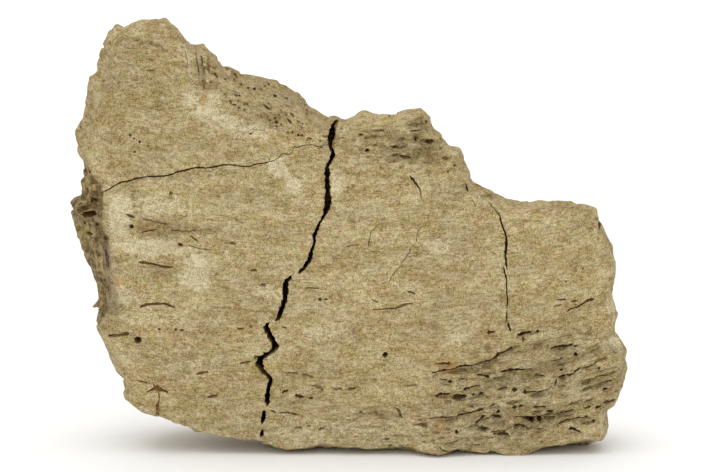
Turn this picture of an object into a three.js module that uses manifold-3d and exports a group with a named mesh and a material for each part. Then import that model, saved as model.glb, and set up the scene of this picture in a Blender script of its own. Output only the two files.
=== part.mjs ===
// A section of a dinosaur rib, turned to stone, that stands on its lower edge.
// Millimetres: X runs along the slab, Y from the front face to the back, Z up. The front faces -Y.
import * as THREE from 'three';
import { mergeVertices } from 'three/addons/utils/BufferGeometryUtils.js';
import Module from 'manifold-3d';

const wasm = await Module();
wasm.setup();

// The slab between its two broad faces
const FRONT_AT_GROUND = -16.25;
const FRONT_LEAN = 0.065;
const BACK_AT_GROUND = 17.75;
const BACK_LEAN = -0.08;
const BACK_CURVE = 0.0016;
const CENTRE = { x: -3, z: 36 };

// How finely the surface is divided: steps across each broad face, and steps through the rim
const FACE_STEPS = 34;
const RIM_STEPS = 5;
const EDGE_CROWDING = 0.35;
const ROUNDING_STARTS = 0.78;
const SMALLEST_RING = 1e-6;
const SAME_PLACE = 1e-4;

// The rim between the broad faces: how its insets curve, how soon the lumps reach their full
// depth away from the crest, and how the underside drops behind the crest
const FRONT_INSET_CURVE = 1.4;
const BACK_INSET_CURVE = 2;
const LUMPS_RISE = 3;
const DROP_RUN = 0.25;
const DROP_CURVE = 6;
const THICKNESS = 30;

// The lumps of broken bone: their size, the most that each one moves the surface, and where
// their pattern starts in Y, so that no two patterns are alike
const RIM_LUMPS = { size: 7, depth: 1.5, start: 0 };
const RIM_CHIPS = { size: 2.6, depth: 0.9, start: 7 };
const BACK_LUMPS = { size: 16, depth: 3.0, start: 50 };
const BACK_CHIPS = { size: 5, depth: 1.1, start: 90 };
const FRONT_WAVES = { size: 11, depth: 0.7, start: 0 };

// The outline seen from the front, clockwise from the step in the left end, in stretches.
// crest: where the outline lies between the front (0) and the back (1).
// frontInset, backInset: how far the front and back edges lie inside the outline.
// frontRound, backRound: how far those edges are rounded off, in depth.
// drop: how far the underside goes on down behind the crest.
const STRETCHES = [
  {
    name: 'left lobe side', crest: 0.55,
    frontInset: 2.5, backInset: 4, frontRound: 2, backRound: 4, drop: 0,
    corners: [
      [-63.4, 55.2], [-62.3, 56.4], [-60.6, 56.9], [-60.6, 60.3], [-59.6, 63.7], [-60.9, 66.7],
      [-61.8, 71.2], [-60.1, 73.9], [-59.1, 77.3], [-58.6, 80.3], [-58.4, 83.6], [-56.5, 84.8],
      [-56.3, 87.5], [-55.1, 89.9], [-54.1, 93.5],
    ],
  },
  {
    name: 'left lobe top', crest: 0.5, frontInset: 1.5, backInset: 3, frontRound: 2, backRound: 3, drop: 0,
    corners: [
      [-52.2, 95.3], [-50.4, 94.8], [-48.8, 95.9], [-46.5, 96.7], [-44.5, 96.4], [-41.4, 96.7],
      [-39.4, 95.0], [-37.0, 92.3], [-35.4, 90.9],
    ],
  },
  {
    name: 'porous slope', crest: 0.6, frontInset: 2.5, backInset: 3, frontRound: 2.5, backRound: 3, drop: 0,
    corners: [
      [-32.6, 91.0], [-30.3, 88.1], [-28.3, 85.3], [-27.3, 85.5], [-23.9, 83.6], [-20.5, 83.4],
      [-17.5, 82.7], [-14.7, 81.4], [-10.6, 78.8], [-8.6, 76.1], [-5.4, 74.5],
    ],
  },
  {
    name: 'second lobe', crest: 0.3, frontInset: 0.8, backInset: 4, frontRound: 1, backRound: 4, drop: 0,
    corners: [
      [-2.4, 74.7], [-0.6, 74.4], [2.7, 75.9], [4.0, 76.3], [6.6, 75.3], [9.8, 75.6], [13.0, 76.7],
      [16.1, 77.1], [18.1, 75.2], [19.1, 72.4], [20.3, 71.8], [22.5, 68.4], [24.8, 67.8],
    ],
  },
  {
    name: 'shoulder', crest: 0.4, frontInset: 1.6, backInset: 4, frontRound: 1.5, backRound: 4, drop: 0,
    corners: [
      [25.8, 64.8], [27.9, 60.0], [30.4, 58.5], [33.3, 57.3], [36.5, 55.9], [39.5, 55.1],
      [43.1, 55.8], [46.0, 55.1], [49.8, 55.8], [52.9, 54.8], [55.4, 54.1],
    ],
  },
  {
    name: 'right end', crest: 0.35, frontInset: 1.5, backInset: 5, frontRound: 1.5, backRound: 4, drop: 0,
    corners: [
      [56.9, 50.9], [59.1, 46.6], [60.3, 42.0], [60.0, 37.6], [59.5, 35.3], [60.6, 30.4],
      [60.2, 26.1], [62.9, 22.2], [62.8, 19.6], [63.2, 17.6], [62.6, 15.8], [61.2, 12.4],
      [60.6, 9.8], [58.8, 8.3], [58.9, 3.5], [57.9, 1.9],
    ],
  },
  {
    name: 'lower right edge', crest: 0.12,
    frontInset: 1, backInset: 2.5, frontRound: 1.5, backRound: 2, drop: 4,
    corners: [
      [54.5, 2.9], [51.2, 2.3], [48.1, 1.7], [44.9, 1.3], [41.5, -0.5], [38.4, -0.8],
      [33.7, 0.0], [31.7, -0.5], [27.2, 0.0],
    ],
  },
  {
    name: 'knob', crest: 0.1, frontInset: 0.8, backInset: 2, frontRound: 1, backRound: 2, drop: 4,
    corners: [[24.9, 1.0], [22.0, 0.0], [20.6, -0.4], [17.4, -0.1], [15.7, 0.3]],
  },
  {
    name: 'base', crest: 0.12, frontInset: 1, backInset: 2, frontRound: 1.5, backRound: 2, drop: 4.5,
    corners: [
      [14.6, 0.5], [11.4, 0.6], [6.7, 0.2], [0.2, 0.7], [-6.5, 1.0], [-10.3, 0.4],
      [-14.1, 0.0], [-17.0, 1.0], [-19.5, 1.9], [-20.1, 2.7],
    ],
  },
  {
    name: 'lower left edge', crest: 0.15,
    frontInset: 1.2, backInset: 3.5, frontRound: 1.5, backRound: 4, drop: 0,
    corners: [
      [-24.5, 2.4], [-28.9, 3.0], [-33.0, 3.9], [-34.8, 4.0], [-36.8, 5.3], [-39.7, 6.1],
      [-42.9, 7.4], [-46.2, 8.4], [-48.5, 9.7],
    ],
  },
  {
    name: 'lower left end', crest: 0.4, frontInset: 2, backInset: 4, frontRound: 1.5, backRound: 4, drop: 0,
    corners: [
      [-50.7, 10.3], [-51.3, 12.0], [-50.9, 12.7], [-51.5, 15.5], [-52.9, 17.3], [-54.2, 20.5],
      [-55.4, 23.7], [-57.1, 27.1], [-57.2, 28.3], [-56.6, 31.3],
    ],
  },
  {
    name: 'left end', crest: 0.8, frontInset: 7, backInset: 1.5, frontRound: 0.6, backRound: 3, drop: 0,
    corners: [
      [-59.3, 30.1], [-58.1, 31.5], [-57.6, 32.2], [-58.1, 35.3], [-59.3, 39.2], [-60.9, 42.9],
      [-62.0, 46.6], [-62.9, 50.4], [-63.5, 52.6],
    ],
  },
];

// Broad dips in the front face: centre, half sizes, turn in degrees, and depth. A bump has a
// depth below zero.
const DIPS = [
  { name: 'eroded band under the second lobe', x: 14, z: 68.3, halfX: 10, halfZ: 3.2, turn: 0, depth: 4 },
  { name: 'knob over the base', x: 20.5, z: 2.5, halfX: 6, halfZ: 5, turn: 0, depth: -2.6 },
  { name: 'bulge over the base', x: 39, z: 2.5, halfX: 9, halfZ: 5, turn: 0, depth: -1.2 },
  { name: 'gouge across the left half', x: -41, z: 49, halfX: 9, halfZ: 2.4, turn: -8, depth: 1 },
  { name: 'worn lower right corner', x: 36, z: 7.5, halfX: 18, halfZ: 3.4, turn: 4, depth: 1.2 },
  { name: 'groove in the left lobe', x: -32.4, z: 84.5, halfX: 1.8, halfZ: 6, turn: 8, depth: 1.6 },
  { name: 'swelling of the middle', x: 4, z: 38, halfX: 34, halfZ: 24, turn: 0, depth: -0.9 },
];

// Bevels: a point on the right of every line, seen along it, slopes back with its distance
const BEVELS = [
  {
    name: 'porous bevel', slope: 0.4, most: 5,
    lines: [[[-22, 71.5], [-35.5, 91]], [[-6, 69.2], [-22, 71.5]], [[-1, 100], [-1, 60]]],
  },
  { name: 'left lobe bevel', slope: 0.7, most: 4, lines: [[[-50.3, 96], [-54.2, 77]]] },
];

// Cracks: centre line on the front face, width and depth
const CRACKS = [
  {
    name: 'main crack, upper part', width: 1.5, depth: 13,
    line: [
      [-2.2, 76.5], [-4.1, 71.7], [-4.6, 68.8], [-3.7, 67.1], [-5.1, 63.6], [-5.2, 55.2],
      [-7.8, 49.5], [-9.2, 44.2], [-11.2, 40.7],
    ],
  },
  {
    name: 'main crack, second part', width: 1.5, depth: 17,
    line: [[-13.0, 40.6], [-14.5, 37.8], [-14.4, 35.8], [-16.4, 30.6]],
  },
  {
    name: 'main crack, third part', width: 1.7, depth: 18,
    line: [
      [-19.0, 29.9], [-16.1, 25.1], [-18.1, 22.9], [-20.1, 22.0],
      [-19.9, 20.0], [-17.9, 18.2], [-18.4, 11.1],
    ],
  },
  {
    name: 'main crack, fourth part', width: 1.3, depth: 14,
    line: [[-19.0, 10.4], [-19.4, 9.0], [-19.6, 7.3]],
  },
  {
    name: 'main crack, lowest part', width: 1.2, depth: 10,
    line: [[-19.4, 6.2], [-19.8, 4.3], [-20.0, 1.5]],
  },
  {
    name: 'crack across the left half', width: 0.6, depth: 7,
    line: [
      [-56, 58.2], [-50.6, 60.4], [-45.9, 61.5], [-39.1, 62.2], [-34.9, 63.7], [-26.6, 64.8],
      [-22.3, 64.4], [-17.7, 66.0], [-13.0, 67.3], [-8.5, 69.3], [-6.5, 69.3],
    ],
  },
  {
    name: 'right crack, upper strand', width: 0.8, depth: 7,
    line: [[30.4, 58.6], [33.5, 53.2], [34.4, 48.6], [34.6, 43.4]],
  },
  {
    name: 'right crack, lower strand', width: 0.7, depth: 5,
    line: [[33.6, 42.4], [34.6, 38.9], [34.5, 32.7], [35.2, 29.1]],
  },
  {
    name: 'fissure over the knob', width: 0.8, depth: 4,
    line: [[11.4, 8.6], [16.2, 8.8], [24.2, 9.7], [29.5, 10.7]],
  },
  {
    name: 'fissure over the bulge', width: 0.9, depth: 4,
    line: [[30.6, 9.3], [38.0, 9.0], [46.9, 8.8]],
  },
  {
    name: 'fissure at the right end', width: 0.9, depth: 4,
    line: [[48.0, 9.9], [52.4, 11.1], [56.8, 11.7], [60.5, 12.5]],
  },
  {
    name: 'long fissure', width: 0.8, depth: 4,
    line: [[20.6, 19.5], [24.8, 20.3], [29.9, 21.8], [35.7, 24.7], [38.1, 27.3]],
  },
  {
    name: 'short crack, lower left', width: 1.0, depth: 4,
    line: [[-44.8, 15.1], [-43.0, 15.7], [-41.2, 15.5], [-39.9, 14.8]],
  },
];

// Pits left by vessels and worms: centre, half sizes, turn in degrees, and depth
const PITS = [
  { x: -48.0, z: 51.0, halfX: 0.9, halfZ: 0.7, turn: 0, depth: 2 },
  { x: -37.2, z: 47.0, halfX: 1.1, halfZ: 1.0, turn: 0, depth: 2 },
  { x: -43.5, z: 42.6, halfX: 3.0, halfZ: 0.6, turn: -6, depth: 2 },
  { x: -41.8, z: 34.2, halfX: 4.0, halfZ: 0.9, turn: 4, depth: 2.5 },
  { x: -54.0, z: 26.6, halfX: 3.2, halfZ: 1.0, turn: 4, depth: 3 },
  { x: -46.7, z: 26.0, halfX: 1.2, halfZ: 0.8, turn: 0, depth: 2 },
  { x: 12.0, z: 66.4, halfX: 2.2, halfZ: 1.0, turn: 10, depth: 3 },
  { x: 13.9, z: 70.4, halfX: 1.8, halfZ: 0.8, turn: 0, depth: 3 },
  { x: 8.0, z: 22.8, halfX: 0.8, halfZ: 0.8, turn: 0, depth: 2 },
  { x: 21.5, z: 21.1, halfX: 1.8, halfZ: 0.9, turn: 10, depth: 2 },
  { x: 24.2, z: 13.3, halfX: 2.2, halfZ: 0.9, turn: 0, depth: 2.5 },
  { x: 28.9, z: 7.7, halfX: 1.6, halfZ: 2.0, turn: 0, depth: 2.5 },
  { x: 33.6, z: 4.8, halfX: 1.6, halfZ: 0.9, turn: 0, depth: 2.5 },
  { x: 40.6, z: 8.2, halfX: 2.2, halfZ: 0.8, turn: 0, depth: 3.5 },
  { x: 50.2, z: 5.7, halfX: 1.8, halfZ: 0.8, turn: 10, depth: 2 },
  { x: -11.2, z: 14.0, halfX: 1.5, halfZ: 0.9, turn: 10, depth: 2.5 },
  { x: -7.0, z: 15.7, halfX: 2.2, halfZ: 0.8, turn: -20, depth: 1.6 },
  { x: -13.2, z: 10.0, halfX: 2.4, halfZ: 0.6, turn: -8, depth: 2 },
  { x: 56.4, z: 50.4, halfX: 1.2, halfZ: 0.7, turn: 10, depth: 3 },
];
const PIT_SIDES = 10;
const PIT_RINGS = 6;

const OVERSHOOT = 8;
const GROUND_DEPTH = 20;
const GROUND_LENGTH = 200;

// A repeatable number from 0 to 1 for each cell of space
function cellValue(x, y, z) {
  const mixed = Math.sin(x * 127.1 + y * 311.7 + z * 74.7) * 43758.5453;
  return mixed - Math.floor(mixed);
}

// Smooth lumps from 0 to 1, blended between the cells
function lumps(x, y, z, size) {
  const at = [x / size, y / size, z / size];
  const cell = at.map(Math.floor);
  const [fx, fy, fz] = at.map((value, axis) => THREE.MathUtils.smoothstep(value - cell[axis], 0, 1));
  const corner = (dx, dy, dz) => cellValue(cell[0] + dx, cell[1] + dy, cell[2] + dz);
  const along = (dy, dz) => THREE.MathUtils.lerp(corner(0, dy, dz), corner(1, dy, dz), fx);
  const across = (dz) => THREE.MathUtils.lerp(along(0, dz), along(1, dz), fy);
  return THREE.MathUtils.lerp(across(0), across(1), fz);
}

// How far one of the kinds of lumps moves the surface at a place
function lumpDepth(kind, x, y, z) {
  return kind.depth * lumps(x, y + kind.start, z, kind.size);
}

// Spreads a number of samples over the outline, with one on every corner
function sampleOutline(count) {
  const corners = STRETCHES.flatMap((stretch) => stretch.corners.map(([x, z]) => ({ ...stretch, x, z })));
  const pieces = corners.map((from, index) => {
    const to = corners[(index + 1) % corners.length];
    return { from, to, length: Math.hypot(to.x - from.x, to.z - from.z), steps: 1 };
  });
  for (let spare = count - pieces.length; spare > 0; spare -= 1) {
    const stepLengths = pieces.map((piece) => piece.length / piece.steps);
    pieces[stepLengths.indexOf(Math.max(...stepLengths))].steps += 1;
  }
  return pieces.flatMap(({ from, to, steps }) =>
    Array.from({ length: steps }, (_, step) => blendRim(from, to, step / steps)),
  );
}

const RIM_VALUES = ['x', 'z', 'crest', 'frontInset', 'backInset', 'frontRound', 'backRound', 'drop'];

function blendRim(from, to, share) {
  const blended = RIM_VALUES.map((key) => [key, THREE.MathUtils.lerp(from[key], to[key], share)]);
  return Object.fromEntries(blended);
}

const SAMPLES = sampleOutline(4 * FACE_STEPS);

// The first sample goes to the square's left edge, level with its middle
function rimAt(u, v) {
  let turn = 0;
  if (u <= SMALLEST_RING - 1) turn = (v + 1) / 2;
  else if (v >= 1 - SMALLEST_RING) turn = 1 + (u + 1) / 2;
  else if (u >= 1 - SMALLEST_RING) turn = 2 + (1 - v) / 2;
  else turn = 3 + (1 - u) / 2;
  const place = (turn + 3.5) * FACE_STEPS;
  const before = Math.floor(place + SMALLEST_RING);
  const first = SAMPLES[before % SAMPLES.length];
  const second = SAMPLES[(before + 1) % SAMPLES.length];
  return blendRim(first, second, Math.max(place - before, 0));
}

function dipDepth(dip, x, z) {
  const turn = THREE.MathUtils.degToRad(dip.turn);
  const along = (x - dip.x) * Math.cos(turn) + (z - dip.z) * Math.sin(turn);
  const across = (z - dip.z) * Math.cos(turn) - (x - dip.x) * Math.sin(turn);
  return dip.depth * Math.exp(-((along / dip.halfX) ** 2) - (across / dip.halfZ) ** 2);
}

function bevelDepth(bevel, x, z) {
  const distances = bevel.lines.map(([[x1, z1], [x2, z2]]) => {
    const length = Math.hypot(x2 - x1, z2 - z1);
    return ((x - x1) * (z2 - z1) - (z - z1) * (x2 - x1)) / length;
  });
  return THREE.MathUtils.clamp(Math.min(...distances) * bevel.slope, 0, bevel.most);
}

function frontDepth(x, z) {
  const plane = FRONT_AT_GROUND + FRONT_LEAN * z;
  const dips = DIPS.reduce((sum, dip) => sum + dipDepth(dip, x, z), 0);
  const bevels = BEVELS.reduce((sum, bevel) => sum + bevelDepth(bevel, x, z), 0);
  return plane + dips + bevels + lumpDepth(FRONT_WAVES, x, 0, z) - FRONT_WAVES.depth / 2;
}

function backDepth(x, z) {
  const plane = BACK_AT_GROUND + BACK_LEAN * z - BACK_CURVE * x * x;
  const broad = lumpDepth(BACK_LUMPS, x, 0, z) - BACK_LUMPS.depth / 2;
  return plane + broad + lumpDepth(BACK_CHIPS, x, 0, z) - BACK_CHIPS.depth / 2;
}

// How far inside the outline the rim lies, at a share of the way from front to back
function rimInset(rim, share) {
  if (share < rim.crest) return rim.frontInset * (1 - share / rim.crest) ** FRONT_INSET_CURVE;
  return rim.backInset * ((share - rim.crest) / (1 - rim.crest)) ** BACK_INSET_CURVE;
}

// Moves a vertex of a cube, two units wide, to its place on the slab
function placeVertex(point) {
  const ring = Math.max(Math.abs(point.x), Math.abs(point.z));
  if (ring < SMALLEST_RING) {
    const depthAt = point.y < 0 ? frontDepth : backDepth;
    point.set(CENTRE.x, depthAt(CENTRE.x, CENTRE.z), CENTRE.z);
    return;
  }
  const rim = rimAt(point.x / ring, point.z / ring);
  const share = (point.y + 1) / 2;
  const reach = new THREE.Vector2(rim.x - CENTRE.x, rim.z - CENTRE.z);
  const distance = reach.length();
  const outward = reach.divideScalar(distance);
  const behindCrest = THREE.MathUtils.smoothstep(share, rim.crest, rim.crest + DROP_RUN);
  const away = Math.abs(share - rim.crest);
  const broken = lumpDepth(RIM_LUMPS, rim.x, share * THICKNESS, rim.z)
    + lumpDepth(RIM_CHIPS, rim.x, share * THICKNESS, rim.z);
  const inset = rimInset(rim, share) + broken * Math.min(away * LUMPS_RISE, 1);
  const spread = THREE.MathUtils.lerp(ring, Math.sin(ring * Math.PI / 2), EDGE_CROWDING);
  const radius = (distance - inset) * spread;
  const x = CENTRE.x + outward.x * radius;
  const z = CENTRE.z + outward.y * radius - rim.drop * behindCrest * spread ** DROP_CURVE;
  const edge = Math.max((ring - ROUNDING_STARTS) / (1 - ROUNDING_STARTS), 0) ** 2;
  const front = frontDepth(x, z) + rim.frontRound * edge;
  const back = backDepth(x, z) - rim.backRound * edge;
  point.set(x, THREE.MathUtils.lerp(front, back, share), z);
}

function slabGeometry() {
  const geometry = new THREE.BoxGeometry(2, 2, 2, FACE_STEPS, RIM_STEPS, FACE_STEPS);
  const position = geometry.attributes.position;
  const point = new THREE.Vector3();
  for (let index = 0; index < position.count; index += 1) {
    point.fromBufferAttribute(position, index);
    placeVertex(point);
    position.setXYZ(index, point.x, point.y, point.z);
  }
  return geometry;
}

// A thin slit that follows a line on the front face and narrows to nothing at both ends
function crackGeometry({ line, width, depth }) {
  const last = line.length - 1;
  const sides = line.map(([x, z], index) => {
    const [beforeX, beforeZ] = line[Math.max(index - 1, 0)];
    const [afterX, afterZ] = line[Math.min(index + 1, last)];
    const length = Math.hypot(afterX - beforeX, afterZ - beforeZ);
    const half = index === 0 || index === last ? 0 : width / 2;
    const off = new THREE.Vector2(beforeZ - afterZ, afterX - beforeX).multiplyScalar(half / length);
    return { place: new THREE.Vector2(x, z), off };
  });
  const left = sides.slice(0, -1).map(({ place, off }) => place.clone().add(off));
  const right = sides.slice(1).reverse().map(({ place, off }) => place.clone().sub(off));
  const shape = new THREE.Shape([...left, ...right]);
  const geometry = new THREE.ExtrudeGeometry(shape, { depth: depth + OVERSHOOT, bevelEnabled: false });
  geometry.rotateX(Math.PI / 2);
  const middle = line[Math.floor(line.length / 2)];
  geometry.translate(0, frontDepth(middle[0], middle[1]) + depth, 0);
  return geometry;
}

function pitGeometry({ x, z, halfX, halfZ, turn, depth }) {
  const geometry = new THREE.SphereGeometry(1, PIT_SIDES, PIT_RINGS);
  geometry.rotateX(Math.PI / 2);
  geometry.scale(halfX, depth, halfZ);
  geometry.rotateY(-THREE.MathUtils.degToRad(turn));
  geometry.translate(x, frontDepth(x, z), z);
  return geometry;
}

function toSolid(geometry) {
  const bare = geometry.clone();
  bare.deleteAttribute('normal');
  bare.deleteAttribute('uv');
  const merged = mergeVertices(bare, SAME_PLACE);
  const vertProperties = new Float32Array(merged.attributes.position.array);
  const triVerts = new Uint32Array(merged.index.array);
  return new wasm.Manifold(new wasm.Mesh({ numProp: 3, vertProperties, triVerts }));
}

function toGeometry(solid) {
  const mesh = solid.getMesh();
  const geometry = new THREE.BufferGeometry();
  geometry.setAttribute('position', new THREE.BufferAttribute(mesh.vertProperties, 3));
  geometry.setIndex(new THREE.BufferAttribute(mesh.triVerts, 1));
  geometry.computeVertexNormals();
  return geometry;
}

// Everything below the ground is cut away, which leaves the flat that the slab rests on
function groundGeometry() {
  const geometry = new THREE.BoxGeometry(GROUND_LENGTH, GROUND_LENGTH, GROUND_DEPTH);
  geometry.translate(0, 0, -GROUND_DEPTH / 2);
  return geometry;
}

function ribSection() {
  const cutters = [groundGeometry(), ...CRACKS.map(crackGeometry), ...PITS.map(pitGeometry)];
  const solid = cutters.reduce((body, cutter) => body.subtract(toSolid(cutter)), toSolid(slabGeometry()));
  const geometry = toGeometry(solid);
  geometry.computeBoundingBox();
  const { min, max } = geometry.boundingBox;
  geometry.translate(-(min.x + max.x) / 2, -(min.y + max.y) / 2, -min.z);
  const material = new THREE.MeshStandardMaterial({ color: 0xa6956e, roughness: 0.9, metalness: 0 });
  const mesh = new THREE.Mesh(geometry, material);
  mesh.name = 'rib_section';
  return mesh;
}

const rib = new THREE.Group();
rib.add(ribSection());

export default rib;
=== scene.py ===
import itertools
import math

import bmesh
import bpy
import numpy as np
from mathutils import Matrix, Vector
from mathutils.bvhtree import BVHTree


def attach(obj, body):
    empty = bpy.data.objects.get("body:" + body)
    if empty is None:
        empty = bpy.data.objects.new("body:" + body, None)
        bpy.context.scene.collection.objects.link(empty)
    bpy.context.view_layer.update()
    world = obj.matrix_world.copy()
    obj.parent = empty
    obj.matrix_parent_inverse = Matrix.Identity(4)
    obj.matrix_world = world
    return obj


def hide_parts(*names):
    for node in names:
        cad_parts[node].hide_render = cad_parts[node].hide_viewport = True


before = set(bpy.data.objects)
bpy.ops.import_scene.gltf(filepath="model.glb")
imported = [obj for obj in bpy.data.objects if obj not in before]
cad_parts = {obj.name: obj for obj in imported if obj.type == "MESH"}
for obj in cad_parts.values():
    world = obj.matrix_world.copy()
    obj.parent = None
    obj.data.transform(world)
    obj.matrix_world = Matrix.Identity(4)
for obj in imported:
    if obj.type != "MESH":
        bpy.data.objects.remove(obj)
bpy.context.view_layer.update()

# Units: Blender works in metres, and the places on the bone below are in millimetres
MM = 0.001

# The camera
LENS = 100
SENSOR_WIDTH = 36
CAMERA_TILT_DEGREES = 8.0
CAMERA_PLACE = (1.408, -442.5, 109.39)

# In metres: how near and how far the camera sees, and half the side of the floor
CAMERA_REACH = (0.01, 50)
FLOOR_HALF_SIZE = 12

# The skin: the smooth front face of the bone, as the solid has it
SKIN_AT_GROUND = -16.25
SKIN_LEAN = 0.065
DIPS = {
    "eroded band": (14, 68.3, 10, 3.2, 0, 4.0),
    "knob": (20.5, 2.5, 6, 5, 0, -2.6),
    "bulge": (39, 2.5, 9, 5, 0, -1.2),
    "gouge": (-41, 49, 9, 2.4, -8, 1.0),
    "worn corner": (36, 7.5, 18, 3.4, 4, 1.2),
    "groove": (-32.4, 84.5, 1.8, 6, 8, 1.6),
    "middle": (4, 38, 34, 24, 0, -0.9),
}
BEVELS = {
    "porous": (0.4, 5.0, [(-22, 71.5, -35.5, 91), (-6, 69.2, -22, 71.5), (-1, 100, -1, 60)]),
    "left lobe": (0.7, 4.0, [(-50.3, 96, -54.2, 77)]),
}

# The bone's grain rises to both ends: its height is this many times the square of X
GRAIN_CURVE = 0.0022

# The random pattern that the lumps come from
HASH_FACTORS = (73856093, 19349663, 83492791)
HASH_SEED_FACTOR = 2654435761
HASH_SCRAMBLE = 1274126177
HASH_SHIFTS = (13, 15)
LARGEST_WHOLE = 0x7FFFFFFF
LARGEST_SHARE = 0xFFFF

# The crisp left edge of the pale slab, from top to bottom, and the recess beside it
STEP_EDGE = [(-54.0, 60), (-54.1, 50), (-52.6, 48.4), (-52.9, 35), (-53.6, 31), (-56, 27)]
STEP_EDGE_BLUR = (-0.1, 0.5)
STEP_FOOT = (27, 30)
STEP_TOP = (58.9, 58.3)
STEP_DEPTH = 1.1

# The broken left end: its edge against the front, and the heights between which it fades in and out
END_EDGE = [(-58.6, 66), (-57.0, 63.5), (-55.4, 61)] + STEP_EDGE
END_EDGE_BLUR = (-0.2, 0.8)
END_FOOT = (26, 30)
END_TOP = (66, 64)

# How finely the surface is built, in millimetres and triangles
SAME_PLACE = 0.01
VOXEL = 0.33
SKIN_TRIANGLES = 165000
FINISHED_TRIANGLES = 195000
SMOOTH_EDGE_DEGREES = 38

# Regions of the front, as soft ellipses: centre, half sizes and turn in degrees. Each one fades out
# between two distances, where 1 is the ellipse's line
REGION_FADE = (1.25, 0.6)
REGIONS = {
    "worn corner": (42, 16, 25, 13, 14),
    "worn foot": (16, 6, 22, 5, 0),
    "porous bevel": (-16, 81, 18, 8, -22),
    "eroded band": (14, 69.5, 12, 5, -8),
    "second lobe": (12, 70, 16, 9, -8),
    "spur": (-58.6, 30.6, 3.6, 2.6, 0),
    "corner of the left end": (-61.2, 54.6, 4.0, 4.2, 0),
    "groove": (-32.4, 85.5, 4.2, 8.0, 8),
    "rim above the main crack": (-3.2, 76.2, 2.6, 2.2, 0),
}

# Small forms whose outline matters, so no relief is added there
CALM_REGIONS = ("spur", "corner of the left end", "rim above the main crack")

# Which parts of the skin count as front and back, by how straight they face that way and by how far
# behind the smooth skin they lie, and how far the relief reaches there
FRONT_FACING = (0.55, 0.85)
FRONT_THICKNESS = (4.0, 2.0)
BACK_TURNING = (0.5, 0.8)
END_INNER = (4, -2)
END_CALM = 0.7
WORN_FOOT_SHARE = 0.7

# The relief. Waves: height, size of the lumps along X, Y and Z, seed, and the middle of the pattern
WAVES = {
    "front, along the grain": [
        (0.12, (5.0, 9, 0.5), 1, 0.5),
        (0.20, (12, 9, 1.5), 2, 0.5),
        (0.60, (5, 9, 3.2), 3, 0.5),
        (0.70, (17, 9, 9), 24, 0.5),
    ],
    "front": [(0.30, (2.2, 9, 1.4), 28, 0.5)],
    "swing of the layers": [(2.2, (14, 9, 9), 7, 0)],
    "worn corner": [(0.7, (3.2, 9, 1.2), 11, 0.4)],
    "groove": [(1.0, (0.9, 9, 5.0), 29, 0.5)],
    "porous bevel": [(0.6, (2.4, 9, 2.0), 13, 0.5)],
    "second lobe": [(1.0, (4.2, 9, 1.5), 14, 0.4)],
    "rim": [(0.6, (3.8, 3.8, 3.0), 16, 0.4), (0.5, (1.6, 1.6, 1.2), 17, 0.4)],
    "left end": [(1.0, (1.2, 1.6, 4.2), 25, 0.55), (0.8, (2.0, 2.6, 1.3), 26, 0.55)],
    "back": [(0.9, (5.0, 9, 2.6), 20, 0.5), (0.45, (2.2, 9, 0.9), 21, 0.5)],
}

# Hollows: depth, size of the lumps, seed, and the values of the pattern where they start and are full
HOLLOWS = {
    "lost layers": [
        (0.36, (11, 9, 3.2), 4, 0.58, 0.61),
        (0.26, (6, 9, 1.8), 5, 0.60, 0.63),
        (0.35, (1.3, 9, 0.55), 6, 0.80, 0.92),
    ],
    "worn corner": [
        (0.70, (9, 30, 1.9), 8, 0.46, 0.54),
        (0.55, (5.5, 30, 1.0), 9, 0.54, 0.62),
        (0.80, (2.8, 30, 0.7), 10, 0.66, 0.76),
    ],
    "porous bevel": [(0.5, (0.95, 9, 0.95), 12, 0.66, 0.82)],
    "second lobe": [(0.5, (1.5, 9, 0.8), 27, 0.64, 0.76)],
    "eroded band": [(0.8, (2.4, 9, 0.8), 15, 0.54, 0.66)],
    "rim": [(0.5, (1.5, 1.5, 1.0), 18, 0.66, 0.80)],
    "left end": [(0.8, (1.7, 2.2, 0.9), 19, 0.64, 0.78)],
    "spongy field": [(1.0, (26, 9, 17), 22, 0.42, 0.62)],
    "spongy back": [(0.9, (1.9, 9, 1.1), 23, 0.52, 0.72)],
}

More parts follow.
